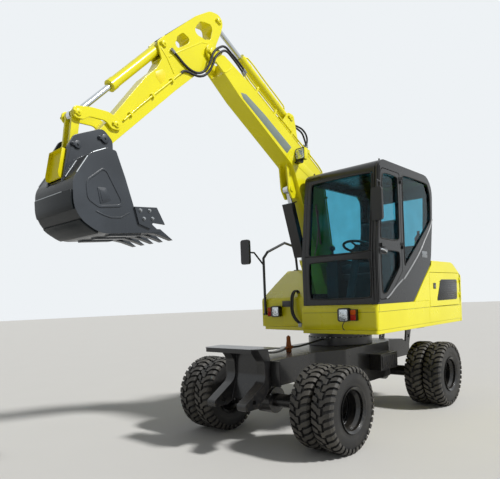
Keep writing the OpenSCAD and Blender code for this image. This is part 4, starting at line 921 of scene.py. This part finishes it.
for place, way in (((1.050, 0.022, 0.90), (0, 1, 0)), ((1.050, -0.022, 0.90), (0, -1, 0)),
                   ((1.050, 0, 1.022), (0, 0, 1))):
    stud(block, place, way, 0.014, 0.016)
finish_mesh("deck_block", block, chassis, rusty, 30, False)
ends = bmesh.new()
fitting(ends, crossing[0][0], crossing[0][1], hose_radius)
finish_mesh("stick_hose_ends", ends, stick_body, steel, 30, False)
ends = bmesh.new()
for route in crossing:
    fitting(ends, route[-1], route[-2], hose_radius)
for route in loops:
    fitting(ends, route[-1], route[-1] + Vector((0, 0, 0.1)), hose_radius)
finish_mesh("boom_hose_ends", ends, boom_body, steel, 30, False)
ends = bmesh.new()
for place, toward in ((on_deck[0][-1], on_deck[0][-2]), (on_deck[1][0], on_deck[1][1]),
                      (on_deck[1][-1], on_deck[1][-1] + Vector((0, 0, 0.1)))):
    fitting(ends, place + (toward - place).normalized() * 0.02, toward, hose_radius)
finish_mesh("deck_hose_ends", ends, chassis, rusty, 30, False)
ends = bmesh.new()
for route in down:
    fitting(ends, route[-1], route[-1] + Vector((0, 0, 0.1)), hose_radius)
finish_mesh("house_hose_ends", ends, house, steel, 30, False)
rounded("boom_lines", 0.0012, yellow)
rounded("stick_lines", 0.0012, yellow)
rounded("bucket_guard", 0.003, clean_yellow)
# A hard pipe runs along the stick cylinder's barrel from its base to its head
base, head = Vector((0.760, arm_y, 3.500)), Vector((1.874, arm_y, 4.160))
bore_way = (head - base).normalized()
bore_up = Vector((-bore_way.z, 0, bore_way.x))


def by_barrel(along, out, side):
    """A place beside the stick cylinder's barrel, by its length, height and width."""
    return base + bore_way * along + bore_up * out + Vector((0, side, 0))


oil_pipe = [by_barrel(0.10, 0.044, 0.020), by_barrel(0.13, 0.058, 0.030), by_barrel(0.17, 0.060, 0.032),
            by_barrel(0.50, 0.060, 0.032), by_barrel(0.78, 0.060, 0.032), by_barrel(0.82, 0.055, 0.028),
            by_barrel(0.835, 0.046, 0.022)]
tube("stick_cylinder_pipe", [oil_pipe], 0.008, body_of["stick_barrel"], yellow)
bands = bmesh.new()
for along in (0.22, 0.48, 0.74):
    bmesh.ops.create_cone(bands, cap_ends=True, segments=40, radius1=0.0485, radius2=0.0485, depth=0.022,
                          matrix=Matrix.Translation(by_barrel(along, 0, 0)) @
                          Vector((0, 0, 1)).rotation_difference(bore_way).to_matrix().to_4x4())
    stud(bands, by_barrel(along, 0.046, 0.010), bore_up, 0.008, 0.014)
finish_mesh("stick_cylinder_bands", bands, body_of["stick_barrel"], yellow, 30, False)

# %% [markdown]
# What is already turned or drawn to its true form keeps its own solid and only gets its finish.

# %% Finishes of the solids that stay
def dress(node, material):
    """Gives a solid that stays its own finish."""
    nodes[node].data.materials.clear()
    nodes[node].data.materials.append(material)


for node in ("lift_barrel", "stick_barrel", "bucket_barrel"):
    dress(node, yellow)
for node in ("stick_rod", "bucket_rod"):
    dress(node, chrome)
for node in ("cab_panes", "door_panes"):
    dress(node, green_glass)
for node in ("mirror_rail", "left_mirror", "headlamps", "boom_lamp"):
    dress(node, lamp_black)
dress("seat_cushions", seat_fabric)
dress("fire_extinguisher", red)

# %% [markdown]
# Welded seams, doubler plates and bare film labels give the arm its scale. Each lies on its plate, a millimetre or
# two proud. The wedge on the boom is a bare grey film, and the square on the stick a bare yellow one.

# %% Seams, doublers and bare films on the arm
def cut_through(mesh, outlines, low, high, corner, plane="y"):
    """Cuts openings across a solid: it meets the cutters in an exact Boolean."""
    def holder(shape, name):
        """An object that holds a mesh while the Boolean runs."""
        data = bpy.data.meshes.new(name)
        shape.to_mesh(data)
        shape.free()
        made = bpy.data.objects.new(name, data)
        bpy.context.scene.collection.objects.link(made)
        return made

    cutters = bmesh.new()
    for outline in outlines:
        flat(cutters, plane, low, outline, high - low, corner, 0.0)
    solid, cutter = holder(mesh, "solid"), holder(cutters, "cutter")
    step = solid.modifiers.new("openings", "BOOLEAN")
    step.object, step.operation, step.solver = cutter, "DIFFERENCE", "EXACT"
    graph = bpy.context.evaluated_depsgraph_get()
    result = bmesh.new()
    result.from_mesh(bpy.data.meshes.new_from_object(solid.evaluated_get(graph)))
    for temporary in (solid, cutter):
        bpy.data.objects.remove(temporary)
    return result


openings = [[(2.196, 3.962), (2.163, 4.022), (2.080, 4.078), (1.985, 4.086), (1.968, 4.043), (2.000, 3.935),
             (2.085, 3.920), (2.168, 3.925)],
            [(2.440, 3.750), (2.414, 3.798), (2.330, 3.872), (2.270, 3.858), (2.275, 3.812), (2.346, 3.758),
             (2.412, 3.716)]]
rounded("stick", edge, yellow, shape=cut_through(merged_copy("stick"), openings, -0.25, 0.0, 0.020))
corners = [[(1.99, 0.20), (1.99, 0.42), (1.80, 0.42)], [(1.99, -0.30), (1.90, -0.42), (1.99, -0.42)]]
cradle = cut_through(merged_copy("front_cradle"), corners, 0.90, 1.05, 0.0, "z")
rounded("front_cradle", edge, black, shape=cradle)
boom_face, stick_face = -0.030, -0.060
plates("boom_film", boom_body, decal_grey,
       [("y", boom_face, [(1.634, 3.531), (1.552, 3.536), (1.268, 3.400), (0.819, 3.144), (0.905, 3.060),
                          (1.300, 3.300), (1.600, 3.480)], 0.0007)], 0.0, 0.0002)
plates("boom_seams", boom_body, yellow,
       [("y", boom_face, strip([(1.968, 3.735), (1.920, 3.700), (1.871, 3.665), (1.839, 3.668),
                                (1.772, 3.720), (1.737, 3.765)], 0.010), 0.0040),
        ("y", boom_face, [(0.740, 2.960), (0.632, 3.022), (0.385, 2.915), (0.470, 2.845)], 0.0030)],
       0.0, 0.0012)
plates("stick_seams", stick_body, yellow,
       [("y", stick_face, strip([(2.519, 3.600), (2.418, 3.676), (2.292, 3.758), (2.117, 3.872),
                                 (2.043, 3.888)], 0.010), 0.0030),
        ("y", stick_face, strip([(2.600, 3.655), (2.538, 3.587), (2.468, 3.470)], 0.012), 0.0040)],
       0.0, 0.0012)
label_yellow = paint("deep_yellow_film", linear("#f2e000"), linear("#e8d400"), 0.3, 0.0, 0.0001, 0.3)
plates("stick_film", stick_body, label_yellow,
       [("y", stick_face, [(2.672, 3.424), (2.596, 3.474), (2.561, 3.440), (2.576, 3.378), (2.620, 3.336),
                           (2.672, 3.386)], 0.0012)],
       0.0, 0.0002)


def pin_heads(name, body, places, radius, material=yellow):
    """Round pin heads with a keeper plate and its bolt, as pairs of (x, z), outer face and side."""
    mesh = bmesh.new()
    for (x, z), y, side, scale in places:
        r = radius * scale
        turn = Matrix.Rotation(-side * pi / 2, 4, "X")
        made = bmesh.ops.create_cone(mesh, cap_ends=True, segments=40, radius1=r, radius2=r, depth=0.008,
                                     matrix=Matrix.Translation((x, y + side * 0.003, z)) @ turn)
        rim = [e for v in made["verts"] for e in v.link_edges
               if abs((sum(w.co.y for w in e.verts) / 2 - y) * side - 0.007) < 0.001]
        bmesh.ops.bevel(mesh, geom=list(set(rim)), offset=0.002, offset_type="OFFSET", affect="EDGES",
                        segments=2, profile=0.5, material=-1)
        stud(mesh, (x, y + side * 0.0068, z), (0, side, 0), 0.008, 0.008, 20, 0.8)
        flat(mesh, "y", y, [(x + r * 0.7, z - 0.014), (x + r * 1.75, z - 0.012), (x + r * 1.75, z + 0.012),
                            (x + r * 0.7, z + 0.014)], side * 0.006, 0.004, 0.001)
        stud(mesh, (x + r * 1.45, y + side * 0.0058, z), (0, side, 0), 0.008, 0.009)
    return finish_mesh(name, mesh, body, material, 30, False)


def both_heads(place, reach, scale=1.0):
    """The two heads of a pin through the arm, each reach from the arm's middle."""
    return [(place, arm_y + side * reach, side, scale) for side in (1, -1)]


stick_pivot, stick_cylinder_base = (2.0, 3.8), (0.760, 3.500)
stick_cylinder_eye, bucket_cylinder_base = (1.874, 4.160), (2.568, 3.697)
link_pin, idler_pin = (3.420, 2.885), (3.095, 2.870)
boom_foot, boom_cylinder_base = (0.060, 1.380), (0.295, 1.190)
pin_heads("boom_pins", boom_body, both_heads(stick_pivot, 0.110, 1.5) +
          both_heads(stick_cylinder_base, 0.0755, 1.1), 0.032)
pin_heads("stick_pins", stick_body, both_heads(stick_cylinder_eye, 0.080) +
          both_heads(bucket_cylinder_base, 0.080), 0.026)
pin_heads("link_pins", body_of["idler_links"], both_heads(link_pin, 0.098) +
          both_heads(idler_pin, 0.098), 0.024)
pin_heads("house_pins", house, both_heads(boom_foot, 0.144, 1.2) +
          both_heads(boom_cylinder_base, 0.144), 0.034)

# %% [markdown]
# The bucket's back has the same grey paint as its sides, but it lies in shade and mirrors a dark sky, so the faces
# that look forward get a darker copy of that paint: painted shade and a painted dark reflection. Two wear plates
# follow the rounded back and take the same painted shade: each is the shell's outline between two lengths, set out
# by the plate's thickness.

# %% Bucket and its wear plates
bucket_body = body_of["bucket"]
# A darker copy of the bucket's grey paint: painted shade and a painted dark reflection for the back, which lies in
# shade.
shaded_bucket_back = paint("bucket_back_paint", linear("#10161a"), linear("#181d20"), 0.26, 0.02, 0.0006, 0.06,
                    0.22)
# Faces that look forward take the painted shade; the others take the bucket's own grey.
two_finishes("bucket", 0.003, shaded_bucket_back, bucket_grey,
             lambda face: face.normal.x > 0.2 and abs(face.normal.y) < 0.3 and face.center.x > 3.38)
shell = [((3.460, 2.532), 0.060), ((3.600, 2.330), 0.160), ((3.600, 2.080), 0.200), ((3.400, 1.965), 0.220)]
shell_ends = [(3.310, 2.600), (2.860, 2.010)]


def rounded_route(start, corners, end, steps=10):
    """Points along straight runs joined by arcs, as 2D vectors."""
    stops = [Vector(start)] + [Vector(place) for place, radius in corners] + [Vector(end)]
    route = [stops[0]]
    for index, (place, radius) in enumerate(corners, 1):
        back = (stops[index - 1] - stops[index]).normalized()
        ahead = (stops[index + 1] - stops[index]).normalized()
        half = back.angle(ahead) / 2
        centre = stops[index] + (back + ahead).normalized() * radius / sin(half)
        first = stops[index] + back * radius / tan(half) - centre
        last = stops[index] + ahead * radius / tan(half) - centre
        route += [centre + first.normalized().slerp(last.normalized(), step / steps) * radius
                  for step in range(steps + 1)]
    return route + [stops[-1]]


def piece_of_route(route, low, high):
    """The part of a route between two lengths along it, with the way out at each point."""
    kept, gone = [], 0.0
    for a, b in zip(route, route[1:]):
        run = (b - a).length
        way = (b - a) / run
        out = Vector((-way.y, way.x))
        for at in (max(low - gone, 0.0), min(high - gone, run)):
            if 0 <= at <= run and low <= gone + at <= high:
                kept.append((a + way * at, out))
        gone += run
    return kept


def wrap_plate(mesh, low, high, near, far, thick):
    """A plate bent round the shell between two lengths along its outline."""
    part = piece_of_route(shell_route, low, high)
    outline = [tuple(p + out * thick) for p, out in part] + [tuple(p - out * 0.002) for p, out in part[::-1]]
    clean = [p for i, p in enumerate(outline) if (Vector(p) - Vector(outline[i - 1])).length > 0.0006]
    flat(mesh, "y", near, clean, far - near, 0.0, 0.002)


shell_route = rounded_route(shell_ends[0], shell, shell_ends[1])
wear = bmesh.new()
for low, high in ((0.478, 0.612), (0.690, 0.850)):
    wrap_plate(wear, low, high, -0.405, 0.145, 0.012)
# The wear plates take the same painted shade.
finish_mesh("bucket_wear_plates", wear, bucket_body, shaded_bucket_back, 30, False)

# %% [markdown]
# The side plates carry a bare cast plate and a bead, and the cutters are bolted on. Weld beads run along the ears'
# feet and along the top of a wear plate; their bare light steel is a painted highlight, standing for the bright
# lines that light draws along these edges. The pins' heads stand outside the ears, and the yellow guard between the
# ears has folded edges.

# %% Bucket details
details = []
for way, face in ((1, 0.160), (-1, -0.420)):
    details.append(("y", face, [(3.412, 2.298), (3.340, 2.302), (3.301, 2.216), (3.393, 2.180)], way * 0.004,
                    0.008, 0.0015))
    details.append(("y", face + way * 0.004,
                    [(3.398, 2.286), (3.350, 2.288), (3.320, 2.224), (3.378, 2.198)],
                    way * 0.003, 0.006, 0.001))
    details.append(("y", face, strip([(3.430, 2.125), (3.370, 2.103), (3.307, 2.090), (3.226, 2.097),
                                      (3.148, 2.141)], 0.010), way * 0.005, 0.0, 0.0015))
plates("bucket_side_plates", bucket_body, bucket_grey, details)
cutter_bolts = bmesh.new()
for way, face in ((1, 0.176), (-1, -0.436)):
    for x, z in ((3.060, 2.165), (2.975, 2.172), (3.030, 2.105), (2.950, 2.112)):
        stud(cutter_bolts, (x, face, z), (0, way, 0), 0.012, 0.016)
finish_mesh("cutter_bolts", cutter_bolts, bucket_body, steel, 30, False)
guard_low_corner, guard_high_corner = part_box("bucket_guard")
guard_right, guard_left = guard_low_corner[1], guard_high_corner[1]
ear_near, ear_far = guard_left + 0.0245, guard_right - 0.0245
highlight_weld_beads = []
for low, high in ((0.02, 0.135), (0.19, 0.35)):
    part = piece_of_route(shell_route, low, high)
    foot, top = [Vector((place.x, 0, place.y)) for place, _ in (part[0], part[-1])]
    for y in (ear_near + 0.003, ear_far - 0.003, 0.156, -0.416):
        highlight_weld_beads.append([foot + Vector((0, y, 0)), top + Vector((0, y, 0))])
shell_point, shell_out = piece_of_route(shell_route, 0.475, 0.480)[0]
plate_top = shell_point + shell_out * 0.006
highlight_weld_beads.append([Vector((plate_top.x, -0.40, plate_top.y)), Vector((plate_top.x, 0.02, plate_top.y))])
# Real weld beads, but their bare light steel is a painted highlight along the welded edges.
tube("bucket_welds", highlight_weld_beads, 0.0055, bucket_body, steel)
lips = bmesh.new()
guard_top, guard_low = Vector((3.542, 2.593)), Vector((3.588, 2.378))
guard_out = Vector((0.977, 0.209)) * 0.024
lip = 0.005
edge_outline = [tuple(guard_top - guard_out * 0.2), tuple(guard_low - guard_out * 0.2),
                tuple(guard_low + guard_out * 0.5), tuple(guard_low * 0.85 + guard_top * 0.15 + guard_out),
                tuple(guard_top + guard_out)]
for start in (guard_right, guard_left - lip):
    flat(lips, "y", start, edge_outline, lip, 0.0, 0.0015)
lip_down = Vector((0.001, 0.006))
top_outline = [tuple(guard_top), tuple(guard_top + guard_out), tuple(guard_top + guard_out - lip_down),
               tuple(guard_top - lip_down)]
flat(lips, "y", guard_right + lip, top_outline, guard_left - guard_right - 2 * lip, 0.0, 0.001)
finish_mesh("bucket_guard_edges", lips, bucket_body, clean_yellow, 30, False)
pin_heads("bucket_pins", bucket_body, [((3.230, 2.720), ear_near + 0.008, 1, 1.0),
                                       ((3.230, 2.720), ear_far - 0.008, -1, 1.0),
                                       ((3.460, 2.630), ear_near + 0.008, 1, 0.85),
                                       ((3.460, 2.630), ear_far - 0.008, -1, 0.85)], 0.034, bucket_grey)

# %% [markdown]
# The seat's two cushions are stuffed by simulation. A copy is remeshed fine and even, drawn in a little, and blown
# up as cloth with gravity off. No point may move further than the cap, and where a cushion rests on the seat's
# frame it hardly moves. The sewn channels are pressed in afterwards.

# %% Stuffed seat
def inflated(node, voxel, shrink, cap):
    """The mesh of a cushion that swelled as cloth, from the plain solid."""
    plain_solid = merged_copy(node)
    data = bpy.data.meshes.new("stuffed_seat")
    plain_solid.to_mesh(data)
    plain_solid.free()
    pad = bpy.data.objects.new("stuffed_seat", data)
    bpy.context.scene.collection.objects.link(pad)
    remesh = pad.modifiers.new("even", "REMESH")
    remesh.mode, remesh.voxel_size = "VOXEL", voxel
    even = bpy.data.meshes.new_from_object(pad.evaluated_get(bpy.context.evaluated_depsgraph_get()))
    pad.modifiers.clear()
    pad.data = even
    drawn_in = [vert.co - vert.normal * shrink for vert in even.vertices]
    rests = [vert.normal.z < -0.5 or vert.normal.x < -0.75 for vert in even.vertices]
    for vert, place in zip(even.vertices, drawn_in):
        vert.co = place
    stuffing = pad.modifiers.new("stuffing", "CLOTH")
    stuffing.settings.quality = 2
    stuffing.settings.use_pressure = True
    stuffing.settings.uniform_pressure_force = 4.0
    stuffing.settings.effector_weights.gravity = 0.0
    stuffing.collision_settings.use_collision = False
    stuffing.point_cache.frame_start, stuffing.point_cache.frame_end = 1, 20
    for frame_number in range(1, 21):
        bpy.context.scene.frame_set(frame_number)
    swollen = pad.evaluated_get(bpy.context.evaluated_depsgraph_get()).to_mesh()
    moved = [vert.co.copy() for vert in swollen.vertices]
    pad.modifiers.clear()
    most = 0.0
    for vert, start, end, resting in zip(even.vertices, drawn_in, moved, rests):
        step = end - start
        limit = 0.002 if resting else cap
        vert.co = start + (step.normalized() * limit if step.length > limit else step)
        most = max(most, (vert.co - start).length)
    bpy.context.scene.frame_set(1)
    bpy.data.objects.remove(pad)
    print("stuffed", node, len(even.vertices), "points, moved up to", round(most * 1000, 1), "mm")
    return even


def groove(offset, width, depth):
    """How far a sewn channel presses in, at an offset from its seam."""
    share = abs(offset) / width
    return depth * (1 - share) ** 2 if share < 1 else 0.0


seat_x, seat_y, floor_z = 0.060, 0.495, 1.396
channel_y = 0.150
backrest_way = Vector((0.964, 0, 0.267))
seat_mesh = inflated("seat_cushions", 0.006, 0.006, 0.014)
for vert in seat_mesh.vertices:
    across = vert.co.y - seat_y
    if vert.co.z < floor_z + 0.425 and vert.normal.z > 0.4:
        pressed = max(groove(across - channel_y, 0.020, 0.009), groove(across + channel_y, 0.020, 0.009),
                      groove(vert.co.x - seat_x - 0.03, 0.018, 0.008) if abs(across) < channel_y else 0.0)
        vert.co.z -= pressed
    elif vert.co.z > floor_z + 0.45 and vert.normal.x > 0.4:
        rows = [groove(vert.co.z - (floor_z + high), 0.018, 0.008) for high in (0.60, 0.72, 0.84)]
        pressed = max(groove(across - channel_y, 0.020, 0.009), groove(across + channel_y, 0.020, 0.009),
                      max(rows) if abs(across) < channel_y else 0.0)
        vert.co -= backrest_way * pressed
for face in seat_mesh.polygons:
    face.use_smooth = True
stuffed_seat = make_object("stuffed_seat", seat_mesh, body_of["seat_cushions"], seat_fabric)
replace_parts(stuffed_seat, "seat_cushions")
# The belt's two anchors
belt = bmesh.new()
for y in (seat_y - 0.246, seat_y + 0.246):
    stud(belt, (seat_x - 0.12, y, floor_z + 0.40), (0, 1 if y > seat_y else -1, 0), 0.020, 0.012, 20)
finish_mesh("belt_anchors", belt, body_of["seat_base"], seal_rubber, 30, False)

# %% [markdown]
# The extinguisher keeps its solid and gets a bare yellow band.

# %% Extinguisher's band
bottle_x, bottle_y = -0.480, 0.846
band = bmesh.new()
bmesh.ops.create_cone(band, cap_ends=False, segments=48, radius1=0.0468, radius2=0.0468, depth=0.060,
                      matrix=Matrix.Translation((bottle_x, bottle_y, 2.035)))
finish_mesh("extinguisher_band", band, body_of["fire_extinguisher"], label_yellow, 30, False)

# %% [markdown]
# Small parts on the boom, the house and the chassis: the boom lamp's bracket, the cable under the left lamp, the
# bolts round the bearing, the ribs of the side locker and the foot of the mirror's rail.

# %% Small parts on the house and the chassis
plates("boom_lamp_bracket", boom_body, yellow,
       [("y", 0.1035, [(0.700, 3.128), (0.764, 3.128), (0.764, 3.000), (0.700, 3.000)], 0.003)],
       0.008, 0.001)
cable = [Vector((0.862, 0.604, 1.187)), Vector((0.874, 0.588, 1.155)), Vector((0.868, 0.577, 1.120)),
         Vector((0.850, 0.586, 1.088))]
tube("lamp_cable", [cable], 0.005, house, hose_rubber)
bearing = bmesh.new()
bearing_bolts, bolt_circle = 36, 0.382
for index in range(bearing_bolts):
    turn = 2 * pi * (index + 0.5) / bearing_bolts
    stud(bearing, (bolt_circle * cos(turn), bolt_circle * sin(turn), 0.954), (0, 0, 1), 0.008, 0.010)
finish_mesh("bearing_bolts", bearing, body_of["bearing_lower"], nut_steel, 30, False)
locker = [box_rows("y", 0.6085, (x - 0.008, 0.590), (x + 0.008, 0.715), 0.006)
          for x in (-0.285, -0.235, -0.185, -0.135, -0.085, -0.035, 0.015, 0.065)]
plates("locker_ribs", chassis, black, locker, 0.0, 0.002)
plates("rail_foot", house, black, [("x", 0.345, [(-0.592, 1.336), (-0.466, 1.334), (-0.464, 1.408),
                                                 (-0.590, 1.411)], 0.045)], 0.006, 0.003)

# %% [markdown]
# The stage is a plain pale floor under a pale sky. One broad sun from the machine's left and behind lights the
# side of the cab and the side of the boom, as outdoors, and the sky fills the rest. A face turned to the sun gets
# about a third more light than the one at which a colour renders as it is written.

# %% Stage and lights
def plain(name, colour):
    """A matt, nearly even ground."""
    finish = Finish(name, roughness=0.8)
    darker = tuple(0.97 * c for c in colour[:3]) + (1.0,)
    finish.set(base_color=finish.mix(finish.noise(1.5, 3), colour, darker))
    return finish.material


floor_mesh = bmesh.new()
bmesh.ops.create_circle(floor_mesh, cap_ends=True, segments=64, radius=60)
floor_data = bpy.data.meshes.new("floor")
floor_mesh.to_mesh(floor_data)
floor_mesh.free()
floor = bpy.data.objects.new("floor", floor_data)
bpy.context.scene.collection.objects.link(floor)
floor.data.materials.append(plain("pale_floor", linear("#cfcdc8")))

sun_from = Vector((-0.35, 0.95, 0.95))
sun_data = bpy.data.lights.new("sun", "SUN")
sun_data.energy = 3.5
sun_data.angle = radians(6)
sun = bpy.data.objects.new("sun", sun_data)
bpy.context.scene.collection.objects.link(sun)
sun.rotation_euler = sun_from.to_track_quat("Z", "Y").to_euler()

world = bpy.data.worlds.new("sky")
world.use_nodes = True
bpy.context.scene.world = world
tree = world.node_tree
path = tree.nodes.new("ShaderNodeLightPath")
seen = tree.nodes.new("ShaderNodeMath")
seen.operation = "MAXIMUM"
tree.links.new(path.outputs["Is Camera Ray"], seen.inputs[0])
tree.links.new(path.outputs["Is Transmission Ray"], seen.inputs[1])
seen_or_mirrored = tree.nodes.new("ShaderNodeMath")
seen_or_mirrored.operation = "MAXIMUM"
tree.links.new(seen.outputs[0], seen_or_mirrored.inputs[0])
tree.links.new(path.outputs["Is Glossy Ray"], seen_or_mirrored.inputs[1])
backdrop = tree.nodes.new("ShaderNodeBackground")
backdrop.inputs["Color"].default_value = linear("#eef2f5")
fill = tree.nodes["Background"]
fill.inputs["Color"].default_value = (0.93, 0.965, 1.0, 1.0)
fill.inputs["Strength"].default_value = 0.23
blend = tree.nodes.new("ShaderNodeMixShader")
tree.links.new(seen_or_mirrored.outputs[0], blend.inputs[0])
tree.links.new(fill.outputs[0], blend.inputs[1])
tree.links.new(backdrop.outputs[0], blend.inputs[2])
tree.links.new(blend.outputs[0], tree.nodes["World Output"].inputs["Surface"])

bpy.context.scene.view_settings.view_transform = "Standard"
